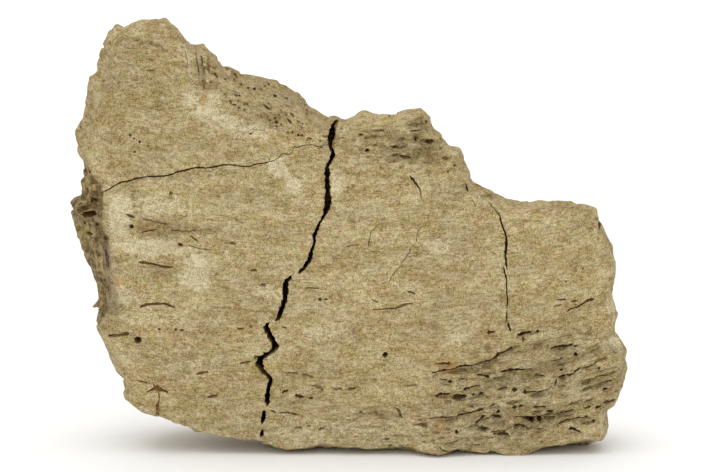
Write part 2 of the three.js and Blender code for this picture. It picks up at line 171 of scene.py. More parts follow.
# Cracks, as read in the photograph: depth in millimetres, then the line with the width at each
# corner, in pixels of the picture
PICTURE_CRACKS = {
    "main, top": (3, [(336, 119.5, 1.5), (334.5, 122.5, 4), (332.5, 126, 5.5), (331, 131, 6),
        (330, 136, 5.5), (329, 140, 4)]),
    "main, upper": (11, [(331.5, 128, 3), (331, 131, 6), (330, 135, 6.2), (329, 140, 6), (328, 144, 4.5),
        (328.5, 147, 3), (330.5, 150.5, 3.5), (331.5, 154, 4.2), (330, 158, 4.2), (327.5, 162, 4.2),
        (325.6, 166, 4), (325.2, 172, 4.5), (325.3, 180, 4.8), (326, 188, 5.2), (326.5, 195, 5.6),
        (326.3, 202, 6.4), (325, 207, 5), (323, 212, 3.4), (320.5, 217, 3), (317.5, 222, 3),
        (315, 228, 3.4), (313.3, 232, 4), (312.2, 235.5, 2.4), (312.8, 238.5, 2.2), (312.8, 241, 2.4),
        (310.8, 246, 2.8), (309.3, 251, 3.6), (308.4, 256, 4.5), (306, 261, 5.2), (302.5, 265.5, 4.6),
        (299.5, 269, 4), (297.5, 272, 1.5)]),
    "main, second": (15, [(290.5, 272.5, 1), (288, 275, 4), (285, 279, 5), (283.6, 284, 5),
        (284, 289, 5.4), (283.6, 294, 5), (282.6, 300, 5), (281, 305, 5), (279.3, 310, 5.2),
        (277.5, 315, 6), (275.5, 318, 4), (274, 319.5, 1.5)]),
    "main, third": (16, [(268.5, 319.8, 1), (266.5, 321.5, 3.5), (264.6, 325, 5), (266, 329, 5.4),
        (268.5, 334, 5.6), (271.5, 339, 6), (274, 343, 6.4), (274.5, 346, 6.6), (271, 349.5, 6.5),
        (266, 353, 6.5), (261.5, 356, 6), (258.5, 359, 6), (258, 363, 7), (260, 367, 7), (263, 371, 6.5),
        (267.5, 374.5, 5), (269, 378, 4.4), (268.6, 382, 3.8), (267.4, 386, 3.2), (266.4, 391, 3.8),
        (265.8, 396, 4.6), (265.6, 400, 4.8), (265.6, 403, 3.6), (266, 405.5, 1)]),
    "main, fourth": (10, [(262.6, 408.8, 2.2), (262.4, 412, 4), (262.2, 416, 4.2), (261.4, 420, 3.6),
        (260.6, 423.5, 1.5)]),
    "main, lowest": (8, [(260.8, 428.5, 2.4), (260.7, 431.5, 3.6), (260.2, 434.5, 3.4),
        (259.2, 437.5, 1.5)]),
    "left": (1.8, [(101, 192, 1), (105, 190.5, 1.5), (110, 187.5, 1.8), (115, 184.5, 1.8), (120, 182, 2),
        (127, 180.3, 2), (135, 178, 2.2), (140, 177.4, 2), (147, 176.2, 1.8), (155, 176, 2),
        (163, 175.5, 2.2), (170, 174, 2), (176, 172, 2), (183, 170, 2.2), (190, 168.3, 2), (197, 167, 2),
        (205, 167.3, 1.8), (212, 166.5, 2), (220, 164.8, 1.8), (228, 163.8, 1.8), (235, 165.4, 1.6),
        (243, 166.3, 1.6), (250, 165.5, 1.8), (256, 163.5, 1.6), (262, 162.8, 1.4), (267, 161.5, 1.6),
        (270, 160.8, 1)]),
    "left, fine end": (0.9, [(268, 161, 1.2), (273, 160, 1.3), (277, 157.5, 1.2), (281, 153.5, 1.2),
        (285, 153.5, 1.1), (289, 154, 1.3), (291, 150, 1.3), (292.5, 146.5, 1.5), (296, 147.5, 1.3),
        (300, 146, 1.2), (305, 145, 1.1), (310, 144.5, 1), (316, 146.3, 0.9), (322, 145.5, 0.9),
        (326, 144.5, 0.7)]),
    "left, twig": (0.8, [(267.8, 160.5, 1.8), (267.6, 157.2, 0.9)]),
    "right": (3, [(488, 201, 0.9), (491, 206, 1), (495, 210, 1.2), (498.5, 214.5, 1.5), (499, 219, 1.7),
        (501, 225, 1.7), (503.5, 231, 1.9), (504.4, 237, 2.1), (504.7, 241, 2.9), (504.5, 246, 3.5),
        (504, 250, 3.3), (503.8, 254, 2.1), (504.2, 259, 2.1), (504.8, 264, 1.7), (506, 269, 1)]),
    "right, lower": (2, [(501, 264, 0.9), (502, 267.5, 1.8), (503.5, 272, 1.7), (505, 277, 1.5),
        (504.8, 284, 1.4), (505.2, 292, 1.3), (505.5, 300, 1.4), (504.8, 308, 1.1), (504.6, 315, 1.7),
        (505.5, 321, 1)]),
    "right, foot": (2, [(506.2, 320.5, 0.9), (507, 324, 2.2), (508.3, 327.5, 2.8), (509.5, 330.5, 1)]),
    "under the second lobe": (2.5, [(465.5, 184, 1), (466, 188, 2.4), (466.6, 192, 1.2)]),
    "on the shoulder": (0.4, [(470, 196, 0.7), (472, 201, 0.9), (474, 206, 0.7)]),
    "below the band": (1.6, [(408, 174, 1.2), (411, 178, 3.2), (414, 182, 3.4), (417, 187, 1.4)]),
    "below the band, foot": (0.7, [(417, 185, 1.4), (419, 191, 1.2), (420, 197, 0.8)]),
    "middle, left hair": (0.5, [(378.5, 221, 0.7), (376, 223, 1.1), (372.5, 226.5, 1.2), (369, 230, 0.9),
        (368, 236, 1), (366.8, 241.5, 1.1), (366.5, 245, 0.8)]),
    "middle, foot hair": (0.4, [(344, 245, 0.8), (348, 244, 1.2), (353, 243.2, 1.1), (358, 243, 0.8)]),
    "middle, right hair": (0.4, [(426, 219, 0.8), (423, 223, 0.9), (418, 226, 1), (416, 229, 0.9),
        (415, 234, 0.9), (414.5, 240, 0.8)]),
    "middle, long hair": (0.5, [(409, 246, 0.9), (408, 250, 1.2), (404, 256, 1.1), (400, 261, 0.9),
        (396, 266, 1), (392, 271, 1.2), (389, 276, 1.2), (386.5, 281, 0.9)]),
}

# Fissures and open pores along the grain, read in the same way
PICTURE_FISSURES = [
    (2.2, [(515, 333.2, 1.5), (518, 334, 2.8), (522, 332.6, 2.2), (527, 331, 2.6), (531, 330.6, 1)]),
    (1.6, [(533.5, 330.8, 1), (536, 330.3, 2.6), (538.5, 330, 1.4)]),
    (1.2, [(521, 335, 1.4), (521.6, 338, 1.6), (521.2, 341.5, 1)]),
    (1.8, [(430, 371, 1.2), (437, 369.4, 1.6), (442, 368.3, 3.2), (446, 368, 1.4), (452, 367.2, 1.4),
        (458, 364.9, 2.2), (464, 364, 2), (470, 364.4, 1.6), (476, 362.4, 1.4), (482, 360, 1.6),
        (488, 358.8, 1.8), (492, 356.4, 3), (495, 354, 3.6), (497, 352, 2), (503, 350.2, 1.8),
        (509, 347, 2.2), (512, 345.6, 1.2)]),
    (0.7, [(512, 345.8, 1), (516, 344.4, 1.2), (520, 343, 1)]),
    (1.3, [(434, 361.9, 1.2), (440, 361.2, 1.4), (444, 361.2, 2), (447, 361.6, 3.4),
        (449.5, 361.6, 1.4)]),
    (1.5, [(498, 370.8, 0.8), (503, 369.3, 2), (508, 368.2, 3), (513, 367.8, 2.6), (520, 368, 1.6),
        (526, 367.8, 1.2), (531, 367.4, 0.8)]),
    (1.3, [(474, 372.8, 0.8), (479, 373.2, 1.4), (483, 374.2, 1.8), (486.5, 375.6, 2.2),
        (488.5, 376.2, 1)]),
    (0.8, [(437, 377.5, 0.8), (442, 378.3, 1.1), (446, 379.4, 1.2)]),
    (1.4, [(446, 379.6, 1.2), (448.8, 380.2, 2.6), (451, 380.6, 1)]),
    (0.6, [(456, 377.6, 0.8), (461, 377, 1.2), (466, 376.2, 0.8)]),
    (1.3, [(461.5, 388.4, 1.6), (464, 387, 3.2), (468, 385.2, 2), (473, 384, 1.4), (479, 383.2, 0.9)]),
    (1.8, [(432.5, 394.4, 1.2), (435, 394.2, 2.4), (438.5, 393, 2.2), (443, 392.4, 2.6), (447, 392.6, 2),
        (449, 392.8, 0.9)]),
    (2.6, [(450, 397.6, 1.5), (453, 396.6, 3.4), (457, 396.6, 5.2), (460, 396.6, 4.2), (463, 396, 2.4),
        (466, 395.6, 1)]),
    (1.2, [(469.5, 394.8, 1), (471.5, 394.4, 1.8), (473.5, 394.2, 0.9)]),
    (1.3, [(476, 394.6, 1.2), (479, 393.6, 2.2), (482.5, 392.4, 1.4)]),
    (1.2, [(495, 388.4, 1.4), (500, 387.6, 1.8), (504, 387, 1.8), (507, 386.8, 1)]),
    (1.8, [(509.5, 388, 1), (512, 388.6, 3.6), (515, 388.8, 2.4), (517, 389, 0.9)]),
    (1.6, [(521, 391.2, 1.2), (523.3, 391, 3.2), (526, 390.6, 1.8), (532, 390.4, 1.5), (538, 389.8, 1.4),
        (544, 388.4, 1.3), (550, 385, 1)]),
    (1.5, [(556, 376.4, 1.2), (559, 375.6, 3), (562, 374.6, 3), (565, 373.4, 1.8), (569, 372.8, 2.4),
        (571.5, 371.4, 1.2), (574, 369, 2), (576.5, 367.6, 2.2), (579, 366.2, 1)]),
    (0.8, [(580, 366.3, 1), (584, 365.4, 1.3), (589, 364.2, 1.3), (593, 362, 1.2), (597, 359.8, 0.9)]),
    (1.3, [(552.5, 384, 1), (554.5, 381, 1.8), (555, 377, 1)]),
    (1.3, [(532.5, 375.6, 1.2), (536, 374.8, 2), (540, 374.8, 1.6), (544, 375.2, 0.9)]),
    (1.6, [(548, 347.8, 1), (552, 346, 2.2), (556, 345.2, 2.2), (561, 344.8, 1.8), (566, 344.4, 2.8),
        (570, 343, 2.4), (572, 342.4, 1)]),
    (1.2, [(571.5, 345.2, 1), (574, 344.7, 1.8), (576.5, 344.4, 0.9)]),
    (2, [(571, 353, 1.2), (573.5, 353.2, 3), (576.5, 354, 1.4)]),
    (0.8, [(551, 360.2, 0.8), (555, 358.8, 1.4), (559, 357.2, 1.2), (562, 356.4, 0.8)]),
    (1.1, [(556, 364.4, 0.9), (560, 364, 1.7), (564, 363.8, 0.9)]),
    (1.2, [(557, 368.8, 1.4), (559.5, 368.2, 2.6), (562, 368, 1.2)]),
    (1.4, [(595.5, 366.8, 1), (597.5, 366.8, 2), (599.5, 366.5, 1)]),
    (0.9, [(578, 379.6, 0.8), (583, 379.2, 1.4), (589, 378.4, 1.4), (595, 378.2, 0.8)]),
    (0.9, [(598, 382.8, 0.8), (604, 381.8, 1.3), (608, 381, 1.4), (612, 380.4, 0.8)]),
    (1.4, [(601, 390.2, 1.2), (604, 389.4, 2.4), (607.5, 388.6, 1.2)]),
    (0.9, [(583, 401.8, 0.9), (588, 400.4, 1.6), (593, 399, 0.9)]),
    (1.2, [(583, 408, 0.9), (586, 407.3, 1.8), (590, 406.6, 1)]),
    (2, [(593.5, 407.4, 1), (596, 406.8, 2.8), (599, 405.8, 2.6), (601, 405, 1)]),
    (1.5, [(601, 403.4, 1), (606, 402.4, 1.6), (611, 401.8, 1.8), (616, 401, 1)]),
    (1.8, [(592.2, 418, 1.2), (592.6, 420.5, 2.4), (592.8, 423, 1.2)]),
    (1.3, [(531, 406.4, 1), (534, 406, 2), (538, 405.8, 1.6), (543, 405.6, 1.8), (545, 405.6, 0.9)]),
    (1.3, [(544.5, 410.8, 1), (548, 410.5, 2), (552.5, 410.2, 1)]),
    (1.1, [(532.5, 411, 1), (535.5, 410.8, 1.7), (538.5, 410.5, 0.9)]),
    (0.8, [(553, 415, 0.8), (558, 413.6, 1.2), (563, 412.4, 1.5)]),
    (1.3, [(562.5, 412.6, 1.2), (566, 411.6, 2), (570, 410.4, 2.2), (572.5, 409.8, 1)]),
    (0.9, [(555.5, 427, 0.9), (558, 424, 1.4), (561, 421.2, 1.6), (566, 419.4, 1.5), (572, 418.2, 1.5),
        (579, 416.6, 1.4), (588, 415.8, 0.9)]),
    (1.7, [(566.5, 427.6, 1.2), (569.5, 428, 3), (573, 429, 2.4), (577, 430.4, 1.6), (580.5, 432, 0.9)]),
    (3.2, [(521, 417, 1.4), (524, 418, 3), (527.5, 419.2, 4), (531, 420.2, 4.6), (534, 420.6, 2.4)]),
    (3.2, [(535.5, 419.6, 1.8), (538, 419.8, 4.2), (540.5, 420.2, 4), (542.5, 420.4, 1.6)]),
    (0.8, [(514, 416.6, 0.9), (519, 416.4, 1.4), (524, 416.2, 1.2), (530, 416.4, 1.2), (538, 416.6, 1.5),
        (545, 417.2, 1.2), (555, 417.4, 0.8)]),
    (1.6, [(510.5, 407, 1.2), (513.5, 406.4, 2.4), (516, 405.6, 1.2)]),
    (1.3, [(516.5, 405.8, 1), (519, 404.6, 2.2), (521.5, 404.6, 1)]),
    (2.2, [(493.5, 412, 1.2), (496.5, 411.4, 3.6), (499, 411.4, 1.6)]),
    (1.7, [(489, 415.6, 1.2), (493, 416.4, 2.2), (497, 417.2, 3), (501, 417.6, 1.2)]),
    (1.4, [(469, 406.2, 1.2), (470.8, 406, 2), (472.5, 406, 1)]),
    (0.9, [(487, 406, 0.9), (490, 404, 1.6), (494, 402.6, 0.9)]),
    (1.3, [(428, 416.4, 1), (435, 415.6, 1.4), (441, 415.4, 2.2), (447, 416, 1.6), (453, 415, 1.5),
        (459, 413.6, 1.5), (466, 412.2, 1.5), (472, 410.8, 1.6), (476, 409.4, 2.4), (479.5, 408.6, 3.2),
        (483, 408.2, 1.6)]),
    (1.4, [(472.5, 424, 1.2), (475.5, 421.6, 2.6), (479, 419.4, 2.4), (481.5, 417.4, 3),
        (485, 415.8, 1.2)]),
    (1.3, [(476, 428, 1.4), (480, 427.6, 3.4), (483.5, 428, 3.4), (487, 428.4, 1.2)]),
    (1.6, [(512, 426.6, 1), (515, 425.6, 2.8), (519, 425.2, 2.6), (523, 427, 1.8), (528, 428.6, 1.4),
        (532, 429, 0.9)]),
    (0.8, [(532, 429.2, 0.9), (538, 429.4, 1.5), (543, 429.4, 0.9)]),
    (0.7, [(489, 431.2, 0.8), (495, 430.4, 1.2), (503, 429.4, 1.2), (508, 428.2, 0.8)]),
    (1.9, [(495.5, 434, 1.2), (499, 433.2, 2.8), (503, 432.6, 3), (506.5, 433.6, 2.2),
        (508.5, 434.6, 1)]),
    (1.2, [(491.5, 433.6, 1), (493.3, 433.3, 1.8), (495, 433.2, 0.9)]),
    (1.9, [(452.6, 431, 1.2), (455.2, 430.8, 3.2), (457.6, 431, 1.2)]),
    (1, [(437, 444, 1), (440, 446, 1.8), (443, 447.8, 1.4), (445.5, 449, 0.8)]),
    (0.6, [(443, 440.2, 0.8), (450, 439.5, 1.1), (457, 439.4, 0.8)]),
    (0.6, [(463, 442.2, 0.8), (471, 443, 1.2), (479, 443.5, 0.8)]),
    (1.3, [(484.5, 330.6, 1.2), (486.8, 330.5, 2.8), (489.5, 330.2, 1.6), (494, 330, 0.8)]),
    (1.1, [(126, 213, 1), (129, 214.6, 2.6), (132, 216, 2), (135, 216.4, 0.9)]),
    (0.5, [(142, 217, 0.8), (150, 219.5, 1.5), (158, 221.5, 1.5), (168, 223, 1)]),
    (0.7, [(141, 231.5, 1), (146, 230, 2), (151, 229, 1.6), (157, 228.6, 0.8)]),
    (0.5, [(170, 228.5, 0.8), (182, 230, 1.4), (195, 229.6, 0.8)]),
    (0.8, [(190, 235, 1), (194, 237.5, 2), (198, 240, 1)]),
    (0.5, [(187, 244.5, 0.8), (192, 245.4, 1.3), (200, 247.4, 1.2), (210, 248.2, 0.8)]),
    (1.2, [(138.5, 260.6, 1.4), (143, 261, 2.2), (150, 262.2, 1.5), (158, 263.8, 1.6), (165, 265.2, 1.8),
        (170, 266, 1.6), (174, 265, 0.8)]),
    (1.2, [(139, 306.6, 1.2), (142, 305.4, 2), (146, 303.8, 2.4), (151, 302.8, 1.8), (157, 302.6, 2.2),
        (163, 302.4, 1.6), (168, 303, 2.4), (172, 305, 1.6), (175, 306.4, 0.8)]),
    (1.4, [(106, 337.6, 1.2), (111, 336.6, 2), (116, 335.6, 2.4), (121, 334.4, 2.4), (125, 333, 3.4),
        (128, 332.4, 3), (130, 331.8, 1.2)]),
    (1.4, [(146, 390.6, 0.8), (150, 388.8, 1.6), (153, 387.2, 2.6), (156, 386.8, 4), (159, 388, 3.6),
        (162, 388.4, 2.6), (166, 389.8, 1.6), (168.5, 390.6, 0.8)]),
    (1.2, [(153, 381, 0.8), (154, 384, 1.4), (155.5, 387, 1.6)]),
    (1.1, [(158.5, 390.5, 1), (159, 394, 1.1), (159.3, 398, 1), (157.6, 402, 1.3), (157.2, 405, 2.4),
        (157.4, 409, 3), (157.2, 413, 2.2), (157.8, 416.5, 0.9)]),
    (0.6, [(135, 379.6, 0.9), (140, 380, 1.4), (145, 381, 1.1), (148, 382, 0.8)]),
    (0.9, [(195.5, 372.4, 1.4), (199, 371.2, 2), (204, 370.2, 1.6), (208, 370, 0.8)]),
    (0.7, [(199, 56, 1.2), (201, 66, 2.4), (203, 76, 2.8), (203.5, 85, 2), (202.5, 91, 1)]),
    (0.6, [(205, 47, 0.9), (206, 56, 1.8), (207, 66, 2), (208, 75, 1)]),
    (0.5, [(191, 44, 0.9), (193.5, 54, 1.6), (196, 64, 1.6), (197.5, 74, 0.8)]),
    (0.4, [(184, 50, 0.8), (186, 58, 1.3), (187.5, 67, 0.8)]),
    (1, [(213, 73, 1), (214.5, 76, 2.2), (215.5, 79, 1)]),
    (1, [(231, 75, 1.2), (232, 79, 3), (232.5, 83, 1.2)]),
    (0.9, [(222, 67, 1.2), (226, 68.5, 2.6), (231, 69, 1.2)]),
    (0.9, [(370, 307, 0.7), (385, 306.5, 1), (394, 305.8, 1.3), (398, 304.2, 2.4), (403, 302.4, 1.8),
        (411, 301, 0.8)]),
    (0.9, [(405, 289, 0.8), (408, 289.4, 1.4), (411, 290.4, 2), (414, 292, 1)]),
    (0.6, [(369, 297, 0.7), (373, 298.5, 1.3), (377, 300.5, 0.9)]),
    (1.2, [(565, 311, 1), (569, 307.6, 1.3), (575, 306.4, 1.3), (580, 303.4, 1.6), (585, 300.6, 2),
        (590, 298.6, 2.6), (594, 298, 1.3)]),
    (0.9, [(556, 298.6, 0.8), (561, 298, 1.6), (566, 298.6, 1)]),
    (0.8, [(569, 300, 0.8), (573, 300, 1.6), (577, 300, 0.9)]),
    (0.5, [(551, 306, 0.8), (557, 303.6, 1.5), (561, 303, 0.8)]),
    (0.7, [(303, 286, 0.8), (308, 285.6, 1.2), (314, 286, 1.1), (318, 286.6, 0.8)]),
    (1.2, [(316, 297.4, 1.2), (318.6, 297.2, 2.8), (320.6, 297.4, 1.4)]),
    (1, [(322.5, 297.2, 1), (324.5, 297.4, 2), (326.5, 297.6, 1)]),
    (0.5, [(282, 371, 0.8), (288, 370.4, 1.3), (293, 371, 1.7), (297, 372.4, 1)]),
    (0.6, [(300, 373, 1), (305, 373.4, 1.8), (309, 375, 2.4), (313, 376.4, 1)]),
    (0.7, [(309, 384.6, 1), (314, 384, 2.2), (319, 386, 2.8), (323, 388.6, 1.2)]),
    (1.3, [(280, 391.4, 1.2), (283, 390, 2.4), (287, 389, 1.4)]),
    (1.7, [(293, 393.6, 1.4), (296.5, 394.4, 3.2), (300, 395, 2.6), (303, 395.6, 1)]),
    (0.9, [(269, 409.6, 1), (272, 410.6, 2), (275, 411.8, 1)]),
    (0.8, [(277, 411.8, 0.9), (284, 411.4, 1.4), (290, 412.4, 1.6), (297, 414.2, 0.9)]),
    (0.7, [(316, 428.4, 1), (319, 427.4, 1.6), (323, 427, 0.9)]),
    (0.9, [(238, 361.8, 1), (242, 361.4, 1.6), (247, 360.4, 1.3), (251, 359.4, 0.8)]),
    (0.9, [(236, 327.6, 1), (239, 327, 2), (243, 327.4, 1.2)]),
    (0.8, [(280, 325, 1), (283, 325.4, 1.7), (286, 326, 1)]),
    (0.6, [(330, 387.4, 0.8), (335, 387.6, 1.5), (341, 387, 0.9)]),
    (1, [(392, 405.4, 1), (396.5, 408, 2), (398.5, 412.5, 2), (400, 416, 1)]),
]

# From the picture to the bone: the picture's size, millimetres to a pixel on the skin, and the readings'
# own error, which grows to the right and downwards between two places of the picture
PICTURE_SIZE = (708, 472)
PIXEL_SIZE = 0.219
READING_ERROR = 0.38
READING_ERROR_STARTS = (150, 110)
READING_ERROR_FULL = (300, 210)
PLACE_STEPS_PER_MM = 10
WIDTH_STEPS_PER_MM = 20

# How much of the width that was read a crack has, and how much of its depth a shallow fissure has
WIDTH_SHARE = {"left": 0.88, "left, fine end": 0.9, "right": 0.88, "right, lower": 0.9}
SHALLOW_FISSURE = 2
SHALLOW_FISSURE_SHARE = 0.8


def skin_place(column, row):
    """The place on the smooth skin, as X and Z, that the camera sees at a pixel of the picture."""
    focal_length = LENS / SENSOR_WIDTH * PICTURE_SIZE[0]
    tilt = math.radians(CAMERA_TILT_DEGREES)
    across = (column - PICTURE_SIZE[0] / 2) / focal_length
    up = (PICTURE_SIZE[1] / 2 - row) / focal_length
    inwards = math.cos(tilt) + up * math.sin(tilt)
    upwards = up * math.cos(tilt) - math.sin(tilt)
    camera_x, camera_y, camera_z = CAMERA_PLACE
    distance = (SKIN_AT_GROUND + SKIN_LEAN * camera_z - camera_y) / (inwards - SKIN_LEAN * upwards)
    return camera_x + distance * across, camera_z + distance * upwards


def corner_from_picture(column, row, width):
    x, z = skin_place(column, row)
    errors = [
        READING_ERROR * min(max((value - start) / (full - start), 0), 1)
        for value, start, full in zip((column, row), READING_ERROR_STARTS, READING_ERROR_FULL)
    ]
    return (
        round((x + errors[0]) * PLACE_STEPS_PER_MM) / PLACE_STEPS_PER_MM,
        round((z - errors[1]) * PLACE_STEPS_PER_MM) / PLACE_STEPS_PER_MM,
        round(width * PIXEL_SIZE * WIDTH_STEPS_PER_MM) / WIDTH_STEPS_PER_MM,
    )


def line_from_picture(corners, width_share=1.0):
    return [corner_from_picture(column, row, width * width_share) for column, row, width in corners]


CRACKS = {
    name: (depth, line_from_picture(corners, WIDTH_SHARE.get(name, 1)))
    for name, (depth, corners) in PICTURE_CRACKS.items()
}
FISSURES = [
    (depth * SHALLOW_FISSURE_SHARE if depth <= SHALLOW_FISSURE else depth, line_from_picture(corners))
    for depth, corners in PICTURE_FISSURES
]

# Which way the front and the back face, a place well outside the bone, and how far a cutting shape
# stands out of the skin
FRONT, BACK = -1, 1
FAR_OFF = 100
OVERSHOOT = 1.0

# Where the solid has cracks and pits of its own, which are filled first
SOLID_CRACKS = {
    "main, upper": (1.5, 14, [
        (-2.9, 74.0), (-3.8, 71.7), (-4.3, 68.8), (-3.4, 67.1), (-4.8, 63.6), (-4.9, 55.2), (-7.5, 49.5),
        (-8.9, 44.2), (-10.9, 40.7)]),
    "main, second": (1.5, 18, [(-12.7, 40.6), (-14.2, 37.8), (-14.1, 35.8), (-16.1, 30.6)]),
    "main, third": (1.7, 19, [
        (-18.7, 29.9), (-15.8, 25.1), (-17.8, 22.9), (-19.8, 22.0), (-19.6, 20.0), (-17.6, 18.2),
        (-18.1, 11.1)]),
    "main, fourth": (1.3, 15, [(-18.7, 10.4), (-19.1, 9.0), (-19.3, 7.3)]),
    "main, lowest": (1.2, 11, [(-19.1, 6.2), (-19.5, 4.3), (-19.7, 1.5)]),
    "left": (0.6, 8, [
        (-55.7, 58.2), (-50.3, 60.4), (-45.6, 61.5), (-38.8, 62.2), (-34.6, 63.7), (-26.3, 64.8),
        (-22.0, 64.4), (-17.4, 66.0), (-12.7, 67.3), (-8.2, 69.3), (-6.2, 69.3)]),
    "right, upper": (0.8, 8, [(30.7, 58.6), (33.8, 53.2), (34.7, 48.6), (34.9, 43.4)]),
    "right, lower": (0.7, 6, [(33.9, 42.4), (34.9, 38.9), (34.8, 32.7), (35.5, 29.1)]),
    "over the knob": (0.8, 5, [(11.7, 8.6), (16.5, 8.8), (24.5, 9.7), (29.8, 10.7)]),
    "over the bulge": (0.9, 5, [(30.9, 9.3), (38.3, 9.0), (47.2, 8.8)]),
    "right end": (0.9, 5, [(48.3, 9.9), (52.7, 11.1), (57.1, 11.7), (60.8, 12.5)]),
    "long": (0.8, 5, [(20.9, 19.5), (25.1, 20.3), (30.2, 21.8), (36.0, 24.7), (38.4, 27.3)]),
    "lower left": (1.0, 5, [(-44.5, 15.1), (-42.7, 15.7), (-40.9, 15.5), (-39.6, 14.8)]),
}
SOLID_PITS = [
    (-47.7, 51.0, 0.9, 0.7, 0, 3),
    (-36.9, 47.0, 1.1, 1.0, 0, 3),
    (-43.2, 42.6, 3.0, 0.6, -6, 3),
    (-41.5, 34.2, 4.0, 0.9, 4, 3.5),
    (-53.7, 26.6, 3.2, 1.0, 4, 4),
    (-46.4, 26.0, 1.2, 0.8, 0, 3),
    (12.3, 66.4, 2.2, 1.0, 10, 4),
    (14.2, 70.4, 1.8, 0.8, 0, 4),
    (8.3, 22.8, 0.8, 0.8, 0, 3),
    (21.8, 21.1, 1.8, 0.9, 10, 3),
    (24.5, 13.3, 2.2, 0.9, 0, 3.5),
    (29.2, 7.7, 1.6, 2.0, 0, 3.5),
    (33.9, 4.8, 1.6, 0.9, 0, 3.5),
    (40.9, 8.2, 2.2, 0.8, 0, 4.5),
    (50.5, 5.7, 1.8, 0.8, 10, 3),
    (-10.9, 14.0, 1.5, 0.9, 10, 3.5),
    (-6.7, 15.7, 2.2, 0.8, -20, 2.6),
    (-12.9, 10.0, 2.4, 0.6, -8, 3),
    (56.7, 50.4, 1.2, 0.7, 10, 4),
]

# The first seed of the random draws for each kind of opening
CRACK_SEED = 100
FISSURE_SEED = 300
PIT_SEED = 500
BACK_CRACK_SEED = 800
BACK_PIT_SEED = 900
PORE_SEED = 1100
BACK_FIELD_SEED = 7
PORE_FIELD_SEED = 11

# How cracks and pits are shaped: steps along a crack, how far each is moved and how uneven the width
# is, how openings lean, and how much wider than read they are cut
CRACK_STEP = 0.35
CRACK_JITTER = 0.07
CRACK_UNEVENNESS = (0.7, 1.3)
UNDERCUT = 0.12
UNDERCUT_DEPTH = 2.0
CRACK_FLOOR_SHARE = 0.6
FISSURE_OPENING = 1.75
CRACK_OPENING = 1.2
CRACK_WALL_ROWS = 5
PIT_OPENING = 1.15
PIT_UNEVENNESS = 0.26

# The plugs that fill the solid's own openings: how much wider they are, and how the level of the skin
# beside an opening is found
PLUG_EXTRA = 1.5
LEVEL_RAYS = 12
LEVEL_REACH = 2.6

# Ledges in the worn corner: the bone above a fissure stands proud, and the bone below is worn back
LEDGE_REGION = (12.0, 32.0)
LEDGE_LIP = (0.4, 0.8)
LEDGE_SHELF = (0.5, 1.4)
LEDGE_TAPER = (-0.6, 1.4)
LEDGE_DEEPEST = 0.6
LEDGE_HIGHEST = 0.52
# How strongly the worn-back shelf below each ledge is painted brown: painted shade under the ledge
SHELF_PAINTED_SHADE = 0.9

